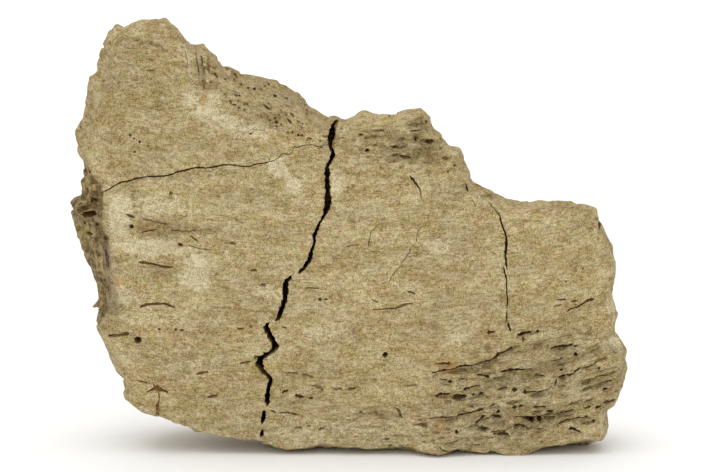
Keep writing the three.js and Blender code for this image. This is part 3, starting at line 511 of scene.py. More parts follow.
# Pits and slots: centre, half length, half height, turn in degrees and depth
PITS = [
    (-47.7, 51, 0.48, 0.44, 0, 1.6), (-38.9, 58.5, 0.4, 0.4, 0, 0.8), (-36.9, 47, 0.55, 0.42, 0, 1.1),
    (-46.4, 25.9, 0.8, 0.66, 0, 2.6), (-41.7, 28.4, 0.31, 0.27, 0, 0.8), (-38, 28.4, 0.31, 0.27, 0, 0.8),
    (-36.7, 28.2, 0.44, 0.27, 0, 0.7), (-30, 13.3, 1.11, 0.35, 5, 0.9),
    (-25.5, 47.5, 0.89, 0.31, -10, 0.7), (-20.7, 41.5, 0.75, 0.27, 0, 0.7),
    (-18.7, 38.2, 0.66, 0.35, 10, 0.7), (-21.4, 28.9, 0.35, 0.22, 0, 0.7),
    (-47.8, 71.2, 0.35, 0.31, 0, 0.7), (-47, 70.4, 0.27, 0.22, 0, 0.6),
    (-45.8, 69.6, 0.31, 0.27, 0, 0.7), (-46.9, 67.5, 0.31, 0.22, 0, 0.6), (-43.1, 85.4, 1, 0.18, 5, 0.5),
    (-26.9, 85.2, 0.4, 0.35, 0, 0.7), (-28.8, 83.8, 0.35, 0.35, 0, 0.7),
    (-30.1, 82.7, 0.33, 0.33, 0, 0.7), (-27.1, 83.1, 0.33, 0.29, 0, 0.7),
    (-25.2, 83, 0.31, 0.66, 0, 0.9), (-23.7, 81.9, 0.35, 0.33, 0, 0.7),
    (-22.1, 81.1, 0.35, 0.35, 0, 0.8), (-18.5, 81.3, 0.33, 0.29, 0, 0.7),
    (-16.1, 79.2, 0.35, 0.33, 0, 0.7), (-13.7, 78.7, 0.44, 0.31, -30, 0.8),
    (-18.1, 77.1, 0.89, 0.27, -40, 0.8), (-12.3, 75.3, 0.8, 0.24, -50, 0.8),
    (-12.9, 74.1, 0.8, 0.24, -50, 0.8), (-15.7, 73.9, 0.4, 0.4, 0, 0.8),
    (-9.1, 75.9, 0.35, 0.27, 0, 0.7), (-10.2, 77.5, 0.27, 0.22, 0, 0.6),
    (-22.1, 77.8, 0.29, 0.24, 0, 0.6), (-21.3, 71.5, 0.33, 0.22, 0, 0.6),
    (-12.2, 71.7, 0.29, 0.24, 0, 0.6), (-8.3, 70.4, 0.49, 0.27, -20, 0.7),
    (9.7, 75.1, 0.75, 0.33, 10, 1), (15.2, 73, 0.29, 0.27, 0, 0.9), (17.3, 74, 0.29, 0.31, 0, 0.8),
    (15, 72, 1.55, 0.2, 0, 0.7), (15, 70.1, 0.35, 0.53, 10, 1), (18.1, 69.5, 1, 0.49, 20, 1.3),
    (4.3, 67.8, 0.5, 0.36, 20, 1.5), (10.4, 68.4, 0.65, 0.4, 0, 1.3), (11.3, 66.7, 1.77, 0.33, 5, 1),
    (12.6, 66.1, 1.33, 0.42, -5, 1.5), (2.9, 71.2, 0.4, 0.22, 0, 0.7), (17.7, 66.2, 0.89, 0.44, 0, 0.8),
    (21.6, 65.8, 0.75, 0.49, 0, 0.8), (23.6, 64.4, 0.4, 0.31, 0, 0.7), (22.1, 63.1, 0.22, 0.44, 0, 0.6),
    (-8.1, 13.1, 0.53, 0.31, 0, 0.8), (-11, 6.4, 0.8, 0.27, 0, 0.7), (-8.6, 6.8, 0.49, 0.27, 0, 0.6),
    (5.8, 17.1, 0.78, 0.44, 0, 0.5), (8.3, 22.8, 0.62, 0.6, 0, 2.6), (0.9, 15.1, 0.89, 0.31, 5, 0.7),
    (2.9, 9.7, 0.44, 0.27, 0, 0.7), (6.3, 9.6, 0.49, 0.66, 50, 0.7), (10.5, 7.7, 0.49, 0.27, 0, 0.6),
    (8.7, 3.7, 0.66, 0.31, 0, 0.6), (9.4, 2.1, 0.58, 0.35, 0, 0.7), (16.3, 7.3, 1.99, 0.35, 5, 0.8),
    (17, 7.1, 0.66, 0.49, 0, 1.1), (17, 3.4, 0.44, 0.31, 0, 0.5), (56.1, 50.6, 0.44, 0.71, -20, 2.4),
    (48.2, 38.9, 0.22, 0.2, 0, 0.6), (52, 41.7, 0.24, 0.2, 0, 0.6), (14.3, 16, 1.33, 0.24, 4, 0.5),
    (-57.4, 53.5, 1.9, 0.6, 4, 4.0), (-57.6, 48.7, 1.5, 0.42, 12, 1.6), (-55.6, 51.3, 0.4, 0.35, 0, 1),
    (-59, 51.1, 0.35, 0.55, 0, 0.9), (-56.2, 56.7, 0.9, 0.4, 10, 1.1), (-59.6, 55.3, 1, 0.35, 0, 1),
    (-57.2, 62.7, 0.7, 0.35, 20, 0.9), (-56.8, 60.5, 1.2, 0.8, 0, 0.9), (-55.7, 44.5, 0.9, 0.8, 0, 0.7),
    (-53.7, 48.1, 0.5, 0.4, 0, 0.8), (-52.5, 38.2, 0.9, 0.35, 15, 0.9),
]

# Cracks and pits on the back, which the light and the camera of the front don't show
BACK_CRACKS = {
    "main": (0.7, 6, [
        (-5.0, 71.5, 0.4), (-6.2, 66.0), (-5.2, 60.8), (-7.4, 55.3), (-8.6, 48.0, 1.1), (-12.0, 41.2),
        (-13.8, 34.0), (-18.0, 28.3, 1.1), (-17.2, 21.4), (-19.2, 14.6), (-18.6, 8.4, 0.5)]),
    "main, twig": (0.4, 3, [(-9.0, 47.0), (-4.6, 45.6), (-0.8, 46.4)]),
    "left": (0.4, 3, [
        (-50.2, 57.8), (-44.5, 60.6), (-38.6, 60.9), (-31.4, 63.6), (-24.3, 63.0), (-16.8, 65.9),
        (-8.0, 66.6)]),
    "right": (0.5, 4, [
        (31.4, 54.1), (33.8, 49.0), (33.0, 44.2), (35.3, 38.6), (34.0, 32.0), (36.1, 26.4)]),
    "long fissure": (0.5, 3, [(8.4, 20.1), (15.6, 21.7), (22.8, 21.2), (31.0, 23.8), (38.6, 24.6)]),
    "low fissure": (0.6, 3, [(20.6, 11.0), (28.4, 12.3), (35.7, 11.6), (44.8, 13.7), (52.2, 14.1)]),
    "lower left": (0.5, 3, [(-43.2, 14.6), (-41.0, 18.5), (-41.8, 23.0)]),
}

# Pits strewn over the back: how many, between which places, and their smallest and largest half length,
# half height and depth. A pit is kept where the back faces straight enough backwards
BACK_PITS = 90
BACK_FIELD_X = (-50, 56)
BACK_FIELD_Z = (8, 88)
BACK_PIT_LENGTH = (0.4, 1.7)
BACK_PIT_HEIGHT = (0.25, 0.55)
BACK_PIT_DEPTH = (0.6, 1.6)
BACK_FACING = 0.8

# Pores strewn over the porous bevel, in the same way
BEVEL_PORES = 42
PORE_FIELD = (-12.5, 77.5, 12.5, 5.5, -26)
PORE_SIZE = (0.13, 0.30)
PORE_DEPTH = (0.3, 0.8)
PORE_STRETCH = 1.3
PORE_TURN = -30
BEVEL_FACING = 0.6

# Colour patches on the front, as soft ellipses: centre, half sizes, turn in degrees and strength
PALE_PATCHES = {
    "cream slab, top": (-41.1, 56.0, 8.8, 2.8, 0, 0.6),
    "cream slab, middle": (-43.3, 46.4, 9.2, 2.0, -4, 1.0),
    "cream slab, right": (-33.4, 41.4, 4.4, 5.7, 0, 0.8),
    "cream slab, lower left": (-49.8, 35.3, 3.0, 3.0, 0, 0.7),
    "cream slab, foot": (-43.3, 30.6, 9.8, 1.8, 0, 0.5),
    "below the cream slab": (-17.2, 36.7, 5.0, 2.2, 0, 0.6),
    "beside the crack": (-2.1, 60.7, 1.6, 3.1, 0, 0.9),
    "left lobe": (-34.6, 78.9, 2.0, 2.0, 0, 1.0),
    "cream slab, left edge": (-50.2, 53.5, 3.1, 5.4, 0, 1.1),
    "groove, left streak": (-34.9, 86.5, 0.6, 4.0, 12, 0.7),
    "groove, right streak": (-31.2, 84.5, 0.5, 3.4, 14, 0.6),
    "beside the orange spot": (-29.3, 78.9, 1.6, 1.6, 0, 1.2),
    "diagonal, upper": (-31.3, 76.0, 3.6, 2.0, -15, 1.0),
    "diagonal, middle": (-25.8, 74.1, 4.0, 1.8, -15, 0.9),
    "diagonal, lower": (-19.7, 71.9, 3.5, 1.6, -20, 0.8),
    "streak, upper": (-15.3, 64.0, 3.0, 2.0, -35, 1.0),
    "streak, lower": (-11.8, 60.2, 2.4, 2.0, -35, 1.0),
    "middle": (-6.1, 27.8, 4.8, 2.4, 0, 0.6),
    "right": (19.7, 46.6, 4.0, 2.2, 0, 0.7),
    "shoulder": (45.0, 52.1, 2.2, 1.5, 0, 0.5),
    "over the fissures": (24.0, 26.4, 2.8, 1.2, 0, 0.8),
    "crystals": (34.7, 11.3, 1.0, 0.7, 0, 1.3),
    "right end": (58.5, 33.1, 1.6, 1.8, 0, 0.7),
    "right crust": (59.0, 24.7, 3.0, 1.3, 10, 1.2),
    "foot crust": (56.9, 7.9, 1.1, 2.0, 0, 0.9),
    "lower left": (-33, 22, 9, 3, 0, 0.35),
    # Painted light along the foot of the bone, where less light reaches near the floor
    "base": (0, 5, 55, 6, 0, 0.4),
    "worn corner": (42, 16, 20, 11, 14, 0.32),
}
OCHRE_PATCHES = {
    "orange spot": (-31.6, 78.5, 0.9, 1.6, 0, 1.3),
    "edge of the cream slab": (-50.6, 46.6, 1.3, 1.2, 0, 0.8),
    "red-brown edge": (-51.6, 38.9, 1.2, 0.9, 0, 1.0),
    "spot on the slab": (-45.4, 37.5, 1.3, 1.1, 0, 0.7),
    "gouge": (-43.7, 50.6, 1.2, 0.7, 0, 0.9),
    "edge of the slab, lower": (-50.3, 38.8, 1.5, 0.9, 20, 1.1),
    "spot on the slab, lower": (-45.2, 37.4, 1.2, 1.2, 0, 0.8),
    "fissured field": (22.7, 20.4, 5.0, 2.6, 0, 0.6),
    "foot": (21.0, 7.0, 2.4, 1.5, 0, 0.6),
    "chip in the main crack": (-18.3, 20.2, 0.8, 1.4, 0, 0.9),
    "second lobe": (0, 66, 3, 5, 0, 0.3),
    "right of the main crack": (-8, 46, 4, 4, 0, 0.35),
}
BROWN_PATCHES = {
    "beside the right crack": (34.3, 35.5, 0.8, 1.6, 0, 0.8),
    "gouge": (-41.6, 50.8, 6.6, 1.7, -5, 1.0),
    # Painted shade on the bevel that faces left
    "painted shade on the left bevel": (-53.6, 86, 2.6, 8.5, 12, 0.4),
    "groove": (-32.4, 85.0, 1.0, 5.5, 10, 0.5),
    "gouge, right end": (-33.0, 50.4, 3.0, 0.8, -8, 0.6),
    "spot on the slab": (-45.4, 37.6, 1.1, 1.1, 0, 0.7),
    "left lobe": (-47, 80, 15, 15, 0, 0.27),
    "slot on the slab": (-41.5, 42.2, 5.0, 0.9, -7, 0.5),
    "notch under the slab": (-51.0, 43.6, 1.6, 1.3, 0, 0.5),
    "hollow at the left": (-53.8, 28.0, 3.0, 1.6, 0, 0.6),
    "eroded band": (15, 68.0, 9, 2.2, 0, 0.35),
    "worn corner": (41, 14.0, 22, 9, 12, 0.12),
    "middle of the slab": (-42.0, 41.0, 5.0, 2.0, -6, 0.55),
    "smudge on the slab": (-38.5, 35.8, 2.0, 1.0, -30, 0.5),
    "hollow in the foot": (29.2, 7.4, 2.2, 2.4, 0, 0.6),
    "right end": (58, 12, 5, 8, 0, 0.3),
    "porous bevel": (-16, 80, 17, 7, -24, 0.42),
    "specks on the left lobe": (-46.4, 68.0, 1.4, 2.0, 0, 0.4),
    "top block of the left end": (-57.6, 55.6, 3.4, 2.6, 0, 1.0),
}
ASH_PATCHES = {
    "ridge beside the slab": (-52.9, 42.5, 1.1, 8.0, 5, 1.3),
    "foot of the left end": (-53.6, 34.0, 1.0, 3.0, 0, 0.7),
}
PALE_SEED, OCHRE_SEED, BROWN_SEED, ASH_SEED = 31, 32, 33, 34

# How the patches fade: the least and the added strength of the fading, the size of its lumps, and how
# sharp a patch's edge is
PATCH_UNEVENNESS = (0.65, 0.7, (2.6, 9, 1.6))
PATCH_EDGE = 1.3

# Where colours start and are full: by how straight the skin faces forwards or to the right, by how far
# behind the smooth skin it lies, and by how deep inside a crack or a pit it lies
PAINTED_FACING = (0.0, 0.3)
BROKEN_FACING = (0.65, 0.15)
BROKEN_DEPTH = (0.6, 3.5)
END_FACING = (0.4, 0.0)
CAVITY_STARTS = (0.08, 0.9)
PAINTED_FOOT_SHARE = 0.6


# Light: an even pale surround and one broad soft light from nearly straight above
WORLD_STRENGTH = 0.93
SUN_STRENGTH = 0.85
SUN_SPREAD_DEGREES = 60
SUN_WAY = (0.12, 0.04, -1.0)


def srgb(red, green, blue):
    """A colour given as the eye sees it, 0 to 255, as the linear colour that Blender takes."""
    linear = [((part / 255 + 0.055) / 1.055) ** 2.4 for part in (red, green, blue)]
    return (*linear, 1.0)


BONE_DARK = srgb(117, 99, 67)
BONE_MIDDLE = srgb(176, 159, 122)
BONE_LIGHT = srgb(214, 201, 165)
CREAM_DARK = srgb(174, 158, 119)
CREAM_LIGHT = srgb(238, 227, 190)
OCHRE = srgb(184, 140, 74)
OLIVE_TINT = srgb(242, 244, 200)
ROSE_TINT = srgb(255, 238, 226)
BROWN_DARK = srgb(74, 56, 31)
BROWN_LIGHT = srgb(154, 129, 84)
END_DARK = srgb(62, 47, 25)
END_MIDDLE = srgb(126, 105, 66)
END_LIGHT = srgb(190, 166, 112)
OLIVE = srgb(150, 138, 62)
ASH = srgb(178, 158, 130)
ASH_DARK = srgb(112, 90, 64)
# Dark brown for the inside of cracks and pits: partly dirt in the hollows, partly painted shade
CAVITY_DIRT_AND_SHADE = srgb(150, 112, 66)
FLOOR_COLOUR = srgb(250, 250, 249)


# Surface maths

def smooth_step(value, low, high):
    share = np.clip((value - low) / (high - low), 0, 1)
    return share * share * (3 - 2 * share)


def cell_values(cells, seed):
    """A random number from 0 to 1 for each whole-numbered cell, the same at every run."""
    x, y, z = (cells * HASH_FACTORS).T
    mixed = x ^ y ^ z ^ seed * HASH_SEED_FACTOR
    mixed = ((mixed ^ (mixed >> HASH_SHIFTS[0])) * HASH_SCRAMBLE) & LARGEST_WHOLE
    return ((mixed ^ (mixed >> HASH_SHIFTS[1])) & LARGEST_SHARE) / LARGEST_SHARE


def lumps(points, sizes, seed):
    """Smooth random lumps from 0 to 1, with the given lengths along X, Y and Z."""
    place = points / np.asarray(sizes, dtype=float)
    cells = np.floor(place).astype(np.int64)
    part = place - cells
    part = part * part * (3 - 2 * part)
    total = np.zeros(len(points))
    for corner in itertools.product((0, 1), repeat=3):
        weight = np.prod(np.where(corner, part, 1 - part), axis=1)
        total += weight * cell_values(cells + np.array(corner), seed)
    return total


def ellipse(points, x, z, half_x, half_z, turn):
    """How far each point lies from an ellipse's centre: 1 on its line."""
    angle = math.radians(turn)
    across, up = points[:, 0] - x, points[:, 2] - z
    along = across * math.cos(angle) + up * math.sin(angle)
    beside = up * math.cos(angle) - across * math.sin(angle)
    return (along / half_x) ** 2 + (beside / half_z) ** 2


def region(points, name):
    return smooth_step(ellipse(points, *REGIONS[name]), *REGION_FADE)


def side_of(points, x1, z1, x2, z2):
    """How far each point lies to the right of a line from one place of the front to another."""
    across = (points[:, 0] - x1) * (z2 - z1) - (points[:, 2] - z1) * (x2 - x1)
    return across / math.hypot(x2 - x1, z2 - z1)


def skin_depth(points):
    """Where the smooth front face lies in Y, behind each point's X and Z."""
    depth = SKIN_AT_GROUND + SKIN_LEAN * points[:, 2]
    for *shape, press in DIPS.values():
        depth = depth + press * np.exp(-ellipse(points, *shape))
    for slope, most, lines in BEVELS.values():
        distances = [side_of(points, *line) for line in lines]
        depth = depth + np.clip(np.min(distances, axis=0) * slope, 0, most)
    return depth


# Meshes

def vertex_places(mesh):
    places = np.empty(len(mesh.vertices) * 3)
    mesh.vertices.foreach_get("co", places)
    return places.reshape(-1, 3) / MM


def set_vertex_places(mesh, places):
    mesh.vertices.foreach_set("co", (places * MM).ravel())
    mesh.update()


def vertex_normals(mesh):
    normals = np.empty(len(mesh.vertices) * 3)
    mesh.vertices.foreach_get("normal", normals)
    return normals.reshape(-1, 3)


def new_piece(name, mesh_or_bmesh):
    mesh = mesh_or_bmesh
    if isinstance(mesh_or_bmesh, bmesh.types.BMesh):
        mesh = bpy.data.meshes.new(name)
        mesh_or_bmesh.to_mesh(mesh)
        mesh_or_bmesh.free()
    piece = bpy.data.objects.new(name, mesh)
    bpy.context.scene.collection.objects.link(piece)
    return piece


def settle(piece):
    """Makes what the modifiers show the piece's own mesh."""
    evaluated = piece.evaluated_get(bpy.context.evaluated_depsgraph_get())
    mesh = bpy.data.meshes.new_from_object(evaluated)
    old = piece.data
    piece.modifiers.clear()
    piece.data = mesh
    bpy.data.meshes.remove(old)


def triangle_count(mesh):
    return sum(len(face.vertices) - 2 for face in mesh.polygons)


# The bone's surface

def ring_levels(place, surface):
    """How far back the front lies at spots around a place, in metres."""
    levels = []
    for turn in range(LEVEL_RAYS):
        angle = 2 * math.pi * turn / LEVEL_RAYS
        x = place[0] + LEVEL_REACH * math.cos(angle)
        z = place[1] + LEVEL_REACH * math.sin(angle)
        hit = surface.ray_cast(Vector((x, -FAR_OFF, z)) * MM, Vector((0, 1, 0)))[0]
        if hit is not None:
            levels.append(hit.y)
    return levels


def fill_holes(body):
    """Closes the cracks and pits of the solid with plugs, so that they can be cut again more finely."""
    surface = BVHTree.FromBMesh(body)
    plugs = []
    for index, (width, depth, line) in enumerate(SOLID_CRACKS.values()):
        corners = [(*corner, width) for corner in line]
        plugs.append((crack_shape(depth, corners, surface, index, extra_width=PLUG_EXTRA), depth))
    for index, values in enumerate(SOLID_PITS):
        if len(ring_levels(values[:2], surface)) == LEVEL_RAYS:
            plugs.append((pit_shape(*values, surface, index, extra_size=PLUG_EXTRA / 2), values[-1]))
    for plug, depth in plugs:
        for vertex in plug.verts:
            levels = ring_levels((vertex.co.x / MM, vertex.co.z / MM), surface)
            level = float(np.median(levels)) if levels else vertex.co.y + PLUG_EXTRA * MM
            vertex.co.y = min(max(vertex.co.y, level), level + (depth + OVERSHOOT) * MM)
        mesh = bpy.data.meshes.new("plug")
        plug.to_mesh(mesh)
        plug.free()
        body.from_mesh(mesh)
        bpy.data.meshes.remove(mesh)


def dense_copy(node):
    """A copy of the solid with an even, fine skin and no holes."""
    body = bmesh.new()
    body.from_mesh(bpy.data.objects[node].data)
    bmesh.ops.remove_doubles(body, verts=body.verts, dist=SAME_PLACE * MM)
    fill_holes(body)
    piece = new_piece("bone", body)
    skin = piece.modifiers.new("skin", "REMESH")
    skin.mode = "VOXEL"
    skin.voxel_size = VOXEL * MM
    settle(piece)
    return piece


def grain_place(points):
    """The points in a frame whose first axis follows the curved grain of the bone."""
    along = points.copy()
    along[:, 2] -= GRAIN_CURVE * points[:, 0] ** 2
    return along


def left_of(points, line):
    """How far each point lies to the left of a line that runs downwards."""
    across, heights = zip(*reversed(line))
    return np.interp(points[:, 2], heights, across) - points[:, 0]


def left_end(points):
    """1 on the broken left end of the bone."""
    inside = smooth_step(left_of(points, END_EDGE), *END_EDGE_BLUR)
    return inside * smooth_step(points[:, 2], *END_FOOT) * smooth_step(points[:, 2], *END_TOP)


def left_step(points):
    """1 on the recessed end of the bone, left of the crisp edge of the pale slab."""
    inside = smooth_step(left_of(points, STEP_EDGE), *STEP_EDGE_BLUR)
    return inside * smooth_step(points[:, 2], *STEP_TOP) * smooth_step(points[:, 2], *STEP_FOOT)


def ledges(points):
    """How far the ledges beside fissures and long pits move the front outwards."""
    lip_height, lip_width = LEDGE_LIP
    shelf_depth, shelf_width = LEDGE_SHELF
    move = np.zeros(len(points))
    for _, line in FISSURES:
        along, height, _ = np.array(line).T
        if along[0] < LEDGE_REGION[0] or height[0] > LEDGE_REGION[1] or along[-1] <= along[0]:
            continue
        above = points[:, 2] - np.interp(points[:, 0], along, height)
        inside = np.minimum(points[:, 0] - along[0], along[-1] - points[:, 0])
        taper = smooth_step(inside, *LEDGE_TAPER)
        lip = lip_height * np.exp(-(above / lip_width) ** 2)
        shelf = -shelf_depth * np.exp(-(above / shelf_width) ** 2)
        move += taper * np.where(above > 0, lip, shelf)
    return np.clip(move, -LEDGE_DEEPEST, LEDGE_HIGHEST)


def waves(points, name):
    """Lumps that move the skin out and in about the middle of their pattern."""
    return sum(height * (lumps(points, sizes, seed) - middle) for height, sizes, seed, middle in WAVES[name])


def hollows(points, name):
    """Hollows where the pattern lies above one value, and of full depth above another."""
    return sum(
        depth * smooth_step(lumps(points, sizes, seed), starts, full)
        for depth, sizes, seed, starts, full in HOLLOWS[name]
    )


def carve(piece):
    """Moves the skin in and out: grain, layers, worn corners, pores and broken edges."""
    mesh = piece.data
    points, normals = vertex_places(mesh), vertex_normals(mesh)
    grain = grain_place(points)
    depth = points[:, 1] - skin_depth(points)
    front = smooth_step(-normals[:, 1], *FRONT_FACING) * smooth_step(depth, *FRONT_THICKNESS)
    back = smooth_step(normals[:, 1], *BACK_TURNING)
    rim = np.clip(1 - front - back, 0, 1)
    end = left_end(points)

    # The front's grain runs along the bone, and thin layers have come off in places
    move = front * (waves(grain, "front, along the grain") + waves(points, "front"))
    move -= front * hollows(grain, "lost layers")

    # The worn corner: ledges along the grain, with hollows under them
    worn = front * np.maximum(region(points, "worn corner"), WORN_FOOT_SHARE * region(points, "worn foot"))
    layered = grain + np.outer(waves(points, "swing of the layers"), (0, 0, 1))
    move += worn * (waves(layered, "worn corner") - hollows(layered, "worn corner"))
    move += front * ledges(points)

    # The groove, the porous bevel and the second lobe
    move += front * region(points, "groove") * waves(points, "groove")
    porous = front * region(points, "porous bevel")
    move += porous * (waves(points, "porous bevel") - hollows(points, "porous bevel"))
    lobe = front * region(points, "second lobe")
    move += lobe * (waves(grain, "second lobe") - hollows(grain, "second lobe"))
    move -= front * region(points, "eroded band") * hollows(grain, "eroded band")

    # Broken edges
    move += rim * (1 - END_CALM * end) * (waves(points, "rim") - hollows(points, "rim"))

    # The left end is broken across the grain, in splinters that run up and down
    splinters = waves(points, "left end") - hollows(points, "left end")
    move += end * smooth_step(points[:, 1], *END_INNER) * splinters

    # The back
    move += back * waves(grain, "back")
    move -= back * hollows(points, "spongy field") * hollows(grain, "spongy back")

    # The pale slab's edge stands a little proud of the left end
    step = left_step(points) * front
    calm = np.max([region(points, name) for name in CALM_REGIONS], axis=0)
    points = points + normals * (move * (1 - calm))[:, None]
    points[:, 1] += step * STEP_DEPTH
    points[:, 2] = np.maximum(points[:, 2], 0)
    set_vertex_places(mesh, points)


def thin_out(piece, most):
    """Takes triangles away where the surface is smooth, down to a number of them."""
    count = triangle_count(piece.data)
    if count > most:
        fewer = piece.modifiers.new("fewer", "DECIMATE")
        fewer.ratio = most / count
        settle(piece)


# Cracks and pits, cut with shapes of their own

def fine_line(line, seed):
    """The line in short steps, each moved a little to the side, with the width at each step."""
    corners = [np.array(corner) for corner in line]
    steps = [corners[0]]
    for start, end in zip(corners[:-1], corners[1:]):
        count = max(1, round(np.linalg.norm((end - start)[:2]) / CRACK_STEP))
        steps += [start + (end - start) * (step + 1) / count for step in range(count)]
    steps = np.array(steps)
    random = np.random.default_rng(seed)
    steps[1:-1, :2] += random.uniform(-CRACK_JITTER, CRACK_JITTER, (len(steps) - 2, 2))
    return steps[:, :2], steps[:, 2]


def crack_shape(depth, line, surface, seed, extra_width=0.0, opening=1.0, face=FRONT):
    """A wedge along a line, widest at the skin, that narrows to nothing at both ends."""
    route, widths = fine_line(line, seed)
    runs_up = abs(route[-1][1] - route[0][1]) > abs(route[-1][0] - route[0][0])
    side = np.array((1, 0) if runs_up else (0, 1))
    random = np.random.default_rng(seed + 1)
    halves = (widths * opening * random.uniform(*CRACK_UNEVENNESS, len(route)) + extra_width) / 2
    cutter = bmesh.new()
    left, right = [], []
    for place, half in list(zip(route, halves))[1:-1]:
        left.append(cutter.verts.new(skin_point(place + side * half, surface, OVERSHOOT, face)))
        right.append(cutter.verts.new(skin_point(place - side * half, surface, OVERSHOOT, face)))
    first = cutter.verts.new(skin_point(route[0], surface, OVERSHOOT, face))
    last = cutter.verts.new(skin_point(route[-1], surface, OVERSHOOT, face))
    if not left:
        raise ValueError("a crack needs at least one place between its ends")
    corners = [(first, left[0], right[0]), (last, right[-1], left[-1])]
    corners += zip(left[:-1], left[1:], right[1:], right[:-1])
    faces = [cutter.faces.new(around) for around in corners]
    grown = bmesh.ops.extrude_face_region(cutter, geom=faces)["geom"]
    floor = [part for part in grown if isinstance(part, bmesh.types.BMVert)]
    bmesh.ops.translate(cutter, verts=floor, vec=(0, -face * (depth + OVERSHOOT) * MM, 0))
    for vertex in floor:
        spot = np.array((vertex.co.x, vertex.co.z)) / MM
        beside = (spot - min(route, key=lambda place: np.abs((place - spot) @ side[::-1]))) @ side
        vertex.co.xz -= Vector(side * beside * (1 - CRACK_FLOOR_SHARE)) * MM
        if not runs_up:
            vertex.co.z += UNDERCUT * min(depth, UNDERCUT_DEPTH) * MM
    walls = [edge for edge in cutter.edges if (edge.verts[0] in floor) != (edge.verts[1] in floor)]
    bmesh.ops.subdivide_edges(cutter, edges=walls, cuts=CRACK_WALL_ROWS, use_grid_fill=True)
    bmesh.ops.recalc_face_normals(cutter, faces=cutter.faces)
    return cutter


def skin_point(place, surface, offset, face=FRONT):
    """The point on the surface at a place of the front or the back, moved outwards by an offset."""
    start = Vector((place[0], face * FAR_OFF, place[1])) * MM
    hit = surface.ray_cast(start, Vector((0, -face, 0)))[0]
    y = skin_depth(np.array([[place[0], 0, place[1]]]))[0] * MM if hit is None else hit.y
    return (place[0] * MM, y + face * offset * MM, place[1] * MM)


def pit_shape(x, z, half_x, half_z, turn, depth, surface, seed, extra_size=0.0, face=FRONT):
    """An uneven hollow, pressed straight into the skin."""
    cutter = bmesh.new()
    bmesh.ops.create_icosphere(cutter, subdivisions=2, radius=1.0)
    random = np.random.default_rng(seed)
    for vertex in cutter.verts:
        vertex.co *= random.uniform(1 - PIT_UNEVENNESS, 1 + PIT_UNEVENNESS)
    centre = Vector(skin_point((x, z), surface, 0, face))
    halves = np.array((half_x, depth, half_z)) * PIT_OPENING + extra_size
    rise = UNDERCUT * -face * min(depth, UNDERCUT_DEPTH) / halves[2]
    lean = Matrix(((1, 0, 0, 0), (0, 1, 0, 0), (0, rise, 1, 0), (0, 0, 0, 1)))
    bmesh.ops.transform(cutter, matrix=lean, verts=cutter.verts)
    size = Matrix.Diagonal((*halves * MM, 1))
    turned = Matrix.Rotation(-math.radians(turn), 4, "Y")
    bmesh.ops.transform(cutter, matrix=Matrix.Translation(centre) @ turned @ size, verts=cutter.verts)
    return cutter


def extent(cutter):
    places = np.array([vertex.co for vertex in cutter.verts])
    return places.min(0), places.max(0)


def cut(piece, cutters):
    """Cuts every shape out of the piece, in groups whose shapes stay clear of each other."""
    groups = []
    for cutter in cutters:
        low, high = extent(cutter)
        for group in groups:
            if all((low > other[2]).any() or (high < other[1]).any() for other in group):
                group.append((cutter, low, high))
                break
        else:
            groups.append([(cutter, low, high)])
    for group in groups:
        joined = bmesh.new()
        for cutter, _, _ in group:
            mesh = bpy.data.meshes.new("cutter")
            cutter.to_mesh(mesh)
            cutter.free()
            joined.from_mesh(mesh)
            bpy.data.meshes.remove(mesh)
        tool = new_piece("cutter", joined)
        saw = piece.modifiers.new("saw", "BOOLEAN")
        saw.operation = "DIFFERENCE"
        saw.solver = "MANIFOLD"
        saw.object = tool
        settle(piece)
        bpy.data.meshes.remove(tool.data)


def surface_of(piece):
    body = bmesh.new()
    body.from_mesh(piece.data)
    surface = BVHTree.FromBMesh(body)
    body.free()
    return surface


def back_pits(surface):
    """Small pits strewn over the back, most of them stretched along the grain."""
    random = np.random.default_rng(BACK_FIELD_SEED)
    shapes = []
    while len(shapes) < BACK_PITS:
        x = random.uniform(*BACK_FIELD_X)
        z = random.uniform(*BACK_FIELD_Z)
        half_x = random.uniform(*BACK_PIT_LENGTH)
        half_z = random.uniform(*BACK_PIT_HEIGHT)
        depth = random.uniform(*BACK_PIT_DEPTH)
        hit, normal = surface.ray_cast(Vector((x, FAR_OFF, z)) * MM, Vector((0, -1, 0)))[:2]
        if hit is not None and normal.y > BACK_FACING:
            turn = math.degrees(math.atan(2 * GRAIN_CURVE * x))
            values = (x, z, half_x, half_z, turn, depth)
            shapes.append(pit_shape(*values, surface, BACK_PIT_SEED + len(shapes), face=BACK))
    return shapes


def bevel_pores(surface):
    """Small round pores strewn over the porous bevel."""
    random = np.random.default_rng(PORE_FIELD_SEED)
    middle_x, middle_z, half_x, half_z, turn = PORE_FIELD
    angle = math.radians(turn)
    shapes = []
    while len(shapes) < BEVEL_PORES:
        along = random.uniform(-half_x, half_x)
        beside = random.uniform(-half_z, half_z)
        x = middle_x + along * math.cos(angle) - beside * math.sin(angle)
        z = middle_z + along * math.sin(angle) + beside * math.cos(angle)
        size = random.uniform(*PORE_SIZE)
        depth = random.uniform(*PORE_DEPTH)
        hit, normal = surface.ray_cast(Vector((x, -FAR_OFF, z)) * MM, Vector((0, 1, 0)))[:2]
        if hit is not None and normal.y < -BEVEL_FACING:
            values = (x, z, size * PORE_STRETCH, size, PORE_TURN, depth)
            shapes.append(pit_shape(*values, surface, PORE_SEED + len(shapes)))
    return shapes


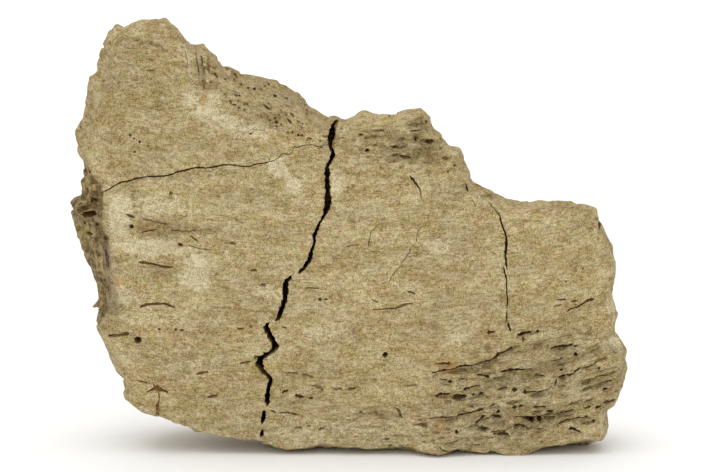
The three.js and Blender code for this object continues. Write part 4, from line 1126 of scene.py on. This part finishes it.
def break_open(piece, surface):
    """Cuts all cracks, fissures and pits into the front and the back."""
    shapes = []
    for index, values in enumerate(CRACKS.values()):
        shapes.append(crack_shape(*values, surface, CRACK_SEED + index, opening=CRACK_OPENING))
    for index, values in enumerate(FISSURES):
        shapes.append(crack_shape(*values, surface, FISSURE_SEED + index, opening=FISSURE_OPENING))
    for index, values in enumerate(PITS):
        shapes.append(pit_shape(*values, surface, PIT_SEED + index))
    for index, (width, depth, line) in enumerate(BACK_CRACKS.values()):
        widened = [(*corner, width)[:3] for corner in line]
        shapes.append(crack_shape(depth, widened, surface, BACK_CRACK_SEED + index, face=BACK))
    shapes += back_pits(surface) + bevel_pores(surface)
    cut(piece, shapes)
    drop_crumbs(piece)


def drop_crumbs(piece):
    """Removes the loose bits that the cuts leave, and keeps the largest part."""
    body = bmesh.new()
    body.from_mesh(piece.data)
    seen = set()
    parts = []
    for start in body.verts:
        if start in seen:
            continue
        seen.add(start)
        part = [start]
        for vertex in part:
            for edge in vertex.link_edges:
                other = edge.other_vert(vertex)
                if other not in seen:
                    seen.add(other)
                    part.append(other)
        parts.append(part)
    crumbs = [vertex for part in sorted(parts, key=len)[:-1] for vertex in part]
    bmesh.ops.delete(body, geom=crumbs, context="VERTS")
    body.to_mesh(piece.data)
    body.free()


# Colour patches, kept on the mesh as numbers from 0 to 1 that the material reads

def patches(points, spots, seed):
    """How strongly the patches of one colour show at each point, with uneven edges."""
    least, added, sizes = PATCH_UNEVENNESS
    uneven = least + added * lumps(points, sizes, seed)
    total = np.zeros(len(points))
    for *shape, strength in spots.values():
        total = np.maximum(total, strength * np.exp(-ellipse(points, *shape) ** PATCH_EDGE * uneven))
    return total


def cavities(points, surface):
    """1 inside a crack or a pit, where the hollows get their dirt and painted shade: well away from where
    the skin was before they were cut.
    """
    distances = [surface.find_nearest(Vector(point) * MM)[3] / MM for point in points]
    return smooth_step(np.array(distances), *CAVITY_STARTS)


def store(mesh, name, values):
    layer = mesh.attributes.new(name, "FLOAT", "POINT")
    layer.data.foreach_set("value", np.asarray(values, dtype=np.float32))


def paint(piece, surface):
    mesh = piece.data
    points, normals = vertex_places(mesh), vertex_normals(mesh)
    on_front = smooth_step(-normals[:, 1], *PAINTED_FACING)
    depth = points[:, 1] - skin_depth(points)
    broken = smooth_step(-normals[:, 1], *BROKEN_FACING) * smooth_step(depth, *BROKEN_DEPTH)
    store(mesh, "pale", patches(points, PALE_PATCHES, PALE_SEED) * on_front)
    store(mesh, "ochre", patches(points, OCHRE_PATCHES, OCHRE_SEED) * on_front)
    # Painted shade on the shelf below each ledge, kept in the brown attribute together with the brown
    # patches
    painted_shade_below_ledges = np.clip(-ledges(points), 0, 1) * SHELF_PAINTED_SHADE
    brown = patches(points, BROWN_PATCHES, BROWN_SEED)
    store(mesh, "brown", np.maximum(brown, painted_shade_below_ledges * on_front))
    store(mesh, "ash", patches(points, ASH_PATCHES, ASH_SEED))
    store(mesh, "broken", broken)
    store(mesh, "end", left_end(points) * smooth_step(normals[:, 0], *END_FACING))
    worn = np.maximum(region(points, "worn corner"), PAINTED_FOOT_SHARE * region(points, "worn foot"))
    store(mesh, "worn", worn * on_front)
    store(mesh, "cavity", cavities(points, surface))


# Materials

class Signal:
    """A value in a material's nodes. Sums, differences and products of signals add Math nodes."""

    def __init__(self, finish, socket):
        self.finish = finish
        self.socket = socket

    def math(self, operation, first, second):
        return self.finish.node("ShaderNodeMath", {"operation": operation}, {0: first, 1: second})

    def __add__(self, other):
        return self.math("ADD", self, other)

    def __sub__(self, other):
        return self.math("SUBTRACT", self, other)

    def __rsub__(self, other):
        return self.math("SUBTRACT", other, self)

    def __mul__(self, other):
        return self.math("MULTIPLY", self, other)

    __radd__ = __add__
    __rmul__ = __mul__


class Finish:
    """One material, made node by node."""

    def __init__(self, name):
        self.material = bpy.data.materials.new(name)
        self.material.use_nodes = True
        self.tree = self.material.node_tree
        self.tree.nodes.clear()
        self.place = self.node("ShaderNodeTexCoord", output="Object")

    def node(self, kind, settings=None, sockets=None, output=0):
        made = self.tree.nodes.new(kind)
        for key, value in (settings or {}).items():
            if key == "stops":
                ramp = made.color_ramp
                while len(ramp.elements) < len(value):
                    ramp.elements.new(1.0)
                for element, (position, colour) in zip(ramp.elements, value):
                    element.position = position
                    element.color = colour
            else:
                setattr(made, key, value)
        for key, value in (sockets or {}).items():
            if isinstance(value, Signal):
                self.tree.links.new(value.socket, made.inputs[key])
            else:
                made.inputs[key].default_value = value
        return Signal(self, made.outputs[output])

    def curved_place(self):
        """The place in a frame whose first axis follows the curved grain of the bone."""
        x, y, z = [self.node("ShaderNodeSeparateXYZ", {}, {0: self.place}, output=axis) for axis in "XYZ"]
        level = z - x * x * (GRAIN_CURVE / MM)
        return self.node("ShaderNodeCombineXYZ", {}, {"X": x, "Y": y, "Z": level})

    def grain(self, size, seed, detail=2.0, roughness=0.5, place=None):
        """Random grain from 0 to 1, with the given sizes in millimetres along X, Y and Z."""
        scale = [1 / (length * MM) for length in size]
        start = (seed, seed * 2, seed * 3)
        place = place or self.place
        sized = self.node("ShaderNodeVectorMath", {"operation": "MULTIPLY"}, {0: place, 1: scale})
        moved = self.node("ShaderNodeVectorMath", {"operation": "ADD"}, {0: sized, 1: start})
        return self.node(
            "ShaderNodeTexNoise", {"noise_dimensions": "3D"},
            {"Vector": moved, "Scale": 1.0, "Detail": detail, "Roughness": roughness},
        )

    def stretch(self, value, low, high, least=0.0, most=1.0):
        """The value's range from low to high spread smoothly from least to most."""
        return self.node(
            "ShaderNodeMapRange", {"interpolation_type": "SMOOTHSTEP"},
            {"Value": value, "From Min": low, "From Max": high, "To Min": least, "To Max": most},
        )

    def blend(self, share, first, second):
        return self.node(
            "ShaderNodeMix", {"data_type": "RGBA", "clamp_factor": True},
            {0: share, 6: first, 7: second}, output=2,
        )

    def tint(self, share, colour, shade):
        """The colour multiplied by a shade, as far as the share says."""
        return self.node(
            "ShaderNodeMix", {"data_type": "RGBA", "clamp_factor": True, "blend_type": "MULTIPLY"},
            {0: share, 6: colour, 7: shade}, output=2,
        )

    def spread(self, amount, patchy):
        """Flecks that cover more of the surface the higher the amount is."""
        return self.stretch(patchy + amount * 0.45, 0.66, 0.76)

    def ramp(self, value, stops):
        return self.node("ShaderNodeValToRGB", {"stops": stops}, {0: value})

    def attribute(self, name):
        return self.node("ShaderNodeAttribute", {"attribute_name": name}, output="Fac")

    def surface(self, colour, roughness, normal=None, **fixed):
        sockets = {"Base Color": colour, "Roughness": roughness, **fixed}
        if normal is not None:
            sockets["Normal"] = normal
        shader = self.node("ShaderNodeBsdfPrincipled", sockets=sockets)
        self.node_output(shader)
        return self.material

    def node_output(self, shader):
        end = self.tree.nodes.new("ShaderNodeOutputMaterial")
        self.tree.links.new(shader.socket, end.inputs["Surface"])


def bone_finish():
    finish = Finish("fossil bone")
    grain_place = finish.curved_place()
    speck = finish.grain((0.27, 0.27, 0.25), 1, detail=2.0, roughness=0.7)
    fibre = finish.grain((1.5, 0.6, 0.34), 5, detail=3.0, roughness=0.6, place=grain_place)
    coarse = finish.grain((0.9, 0.9, 0.7), 9, detail=3.0, roughness=0.6)
    tone = finish.grain((15, 12, 6), 13, detail=3.0, roughness=0.6, place=grain_place)
    mixed = speck * 0.56 + fibre * 0.16 + coarse * 0.28

    bone = finish.ramp(mixed, [(0.39, BONE_DARK), (0.50, BONE_MIDDLE), (0.60, BONE_LIGHT)])
    cream = finish.ramp(mixed, [(0.40, CREAM_DARK), (0.57, CREAM_LIGHT)])
    brown_bone = finish.ramp(mixed, [(0.38, BROWN_DARK), (0.62, BROWN_LIGHT)])
    hue = finish.stretch(finish.grain((1.2, 1.2, 0.8), 21, detail=3.0, roughness=0.7), 0.36, 0.64)
    bone = finish.tint(hue, bone, OLIVE_TINT)
    bone = finish.tint(1 - hue, bone, ROSE_TINT)

    patchy = finish.grain((1.2, 1.2, 0.8), 17, detail=5.0, roughness=0.75)
    # The brown attribute: brown stains, with painted shade below the ledges and on the left bevel
    stains_and_painted_shade = finish.attribute("brown")
    pale_here = finish.attribute("pale") * (1 - stains_and_painted_shade)
    pale = pale_here * 0.14 + finish.spread(pale_here, patchy) * 0.5
    ochre = finish.spread(finish.attribute("ochre"), 1 - patchy)
    brown = stains_and_painted_shade * 0.6 + finish.attribute("broken") * 0.3
    shade = finish.stretch(tone, 0.38, 0.62, 0.0, 0.30)
    blotch = finish.grain((4.5, 4.0, 2.0), 29, detail=4.0, roughness=0.65)
    mottle = finish.stretch(blotch, 0.40, 0.62, 0.0, 0.36)
    hair = finish.grain((3.6, 1.0, 0.24), 49, detail=2.0, roughness=0.6, place=grain_place)
    hairs = finish.stretch(hair, 0.58, 0.68, 0.0, 0.55)

    # Thin layers in the worn corner, each with a painted shadow line under its edge
    layer = finish.grain((3.2, 3.2, 0.62), 25, detail=2.0, roughness=0.55, place=grain_place)
    layers = finish.stretch(layer, 0.47, 0.52)
    line = finish.stretch(layer, 0.44, 0.48) * (1 - finish.stretch(layer, 0.48, 0.52))
    worn = finish.attribute("worn")

    colour = finish.blend(shade, bone, brown_bone)
    colour = finish.blend(mottle, colour, cream)
    colour = finish.blend(hairs, colour, BONE_DARK)
    colour = finish.blend(brown, colour, brown_bone)
    # Painted shadow lines under the edges of the worn layers
    colour = finish.blend(worn * line * 0.2, colour, BROWN_DARK)
    colour = finish.blend(ochre * 0.5, colour, OCHRE)
    colour = finish.blend(pale, colour, cream)

    # The broken left end: dark splinters with olive and ash-coloured streaks
    splinter = finish.grain((0.8, 1.0, 2.6), 33, detail=3.0, roughness=0.6)
    knot = finish.grain((2.4, 2.6, 1.5), 37, detail=3.0, roughness=0.6)
    broken_end = finish.ramp(
        splinter * 0.3 + knot * 0.4 + speck * 0.3, [(0.42, END_DARK), (0.52, END_MIDDLE), (0.62, END_LIGHT)]
    )
    olive_here = finish.stretch(finish.grain((2.4, 3.0, 3.4), 41, detail=3.0), 0.55, 0.66) * 0.5
    ash_here = finish.stretch(finish.grain((1.6, 3.0, 4.4), 45, detail=3.0), 0.56, 0.68) * 0.5
    broken_end = finish.blend(olive_here, broken_end, OLIVE)
    broken_end = finish.blend(ash_here, broken_end, ASH)
    colour = finish.blend(finish.attribute("end") * 0.9, colour, broken_end)
    ashy = finish.ramp(mixed, [(0.40, ASH_DARK), (0.58, ASH)])
    colour = finish.blend(finish.attribute("ash") * 0.8, colour, ashy)
    # Cracks and pits turn dark brown inside: partly dirt, partly painted shade on top of the rendered
    # shading
    colour = finish.blend(finish.attribute("cavity") * 0.85, colour, CAVITY_DIRT_AND_SHADE)

    relief = speck * 0.55 + fibre * 0.4 + coarse * 0.6 + worn * layers * 1.2
    normal = finish.node(
        "ShaderNodeBump", {}, {"Strength": 0.75, "Distance": 0.25 * MM, "Height": relief}
    )
    roughness = finish.stretch(mixed, 0.3, 0.7, 0.95, 0.80)
    return finish.surface(colour, roughness, normal, **{"Specular IOR Level": 0.25})


def floor_finish():
    finish = Finish("pale floor")
    return finish.surface(FLOOR_COLOUR, 0.9)


# The scene around the bone

def add_floor():
    body = bmesh.new()
    bmesh.ops.create_grid(body, x_segments=1, y_segments=1, size=FLOOR_HALF_SIZE)
    floor = new_piece("floor", body)
    floor.data.materials.append(floor_finish())


def add_camera():
    lens = bpy.data.cameras.new("camera")
    lens.lens = LENS
    lens.sensor_width = SENSOR_WIDTH
    lens.sensor_fit = "HORIZONTAL"
    lens.clip_start, lens.clip_end = CAMERA_REACH
    camera = bpy.data.objects.new("camera", lens)
    camera.location = Vector(CAMERA_PLACE) * MM
    camera.rotation_euler = (math.radians(90 - CAMERA_TILT_DEGREES), 0, 0)
    bpy.context.scene.collection.objects.link(camera)
    bpy.context.scene.camera = camera


def add_lights():
    world = bpy.data.worlds.new("studio")
    world.use_nodes = True
    background = world.node_tree.nodes["Background"]
    background.inputs["Color"].default_value = (1, 1, 1, 1)
    background.inputs["Strength"].default_value = WORLD_STRENGTH
    bpy.context.scene.world = world
    lamp = bpy.data.lights.new("soft light", "SUN")
    lamp.energy = SUN_STRENGTH
    lamp.angle = math.radians(SUN_SPREAD_DEGREES)
    light = bpy.data.objects.new("soft light", lamp)
    light.rotation_euler = Vector(SUN_WAY).to_track_quat("-Z", "Y").to_euler()
    bpy.context.scene.collection.objects.link(light)


def add_bone():
    piece = dense_copy("rib_section")
    carve(piece)
    thin_out(piece, SKIN_TRIANGLES)
    surface = surface_of(piece)
    break_open(piece, surface)
    thin_out(piece, FINISHED_TRIANGLES)
    piece.data.shade_smooth()
    piece.data.set_sharp_from_angle(angle=math.radians(SMOOTH_EDGE_DEGREES))
    paint(piece, surface)
    piece.data.materials.clear()
    piece.data.materials.append(bone_finish())
    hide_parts("rib_section")
    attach(piece, "root")


bpy.context.scene.view_settings.view_transform = "Standard"
add_camera()
add_floor()
add_lights()
add_bone()
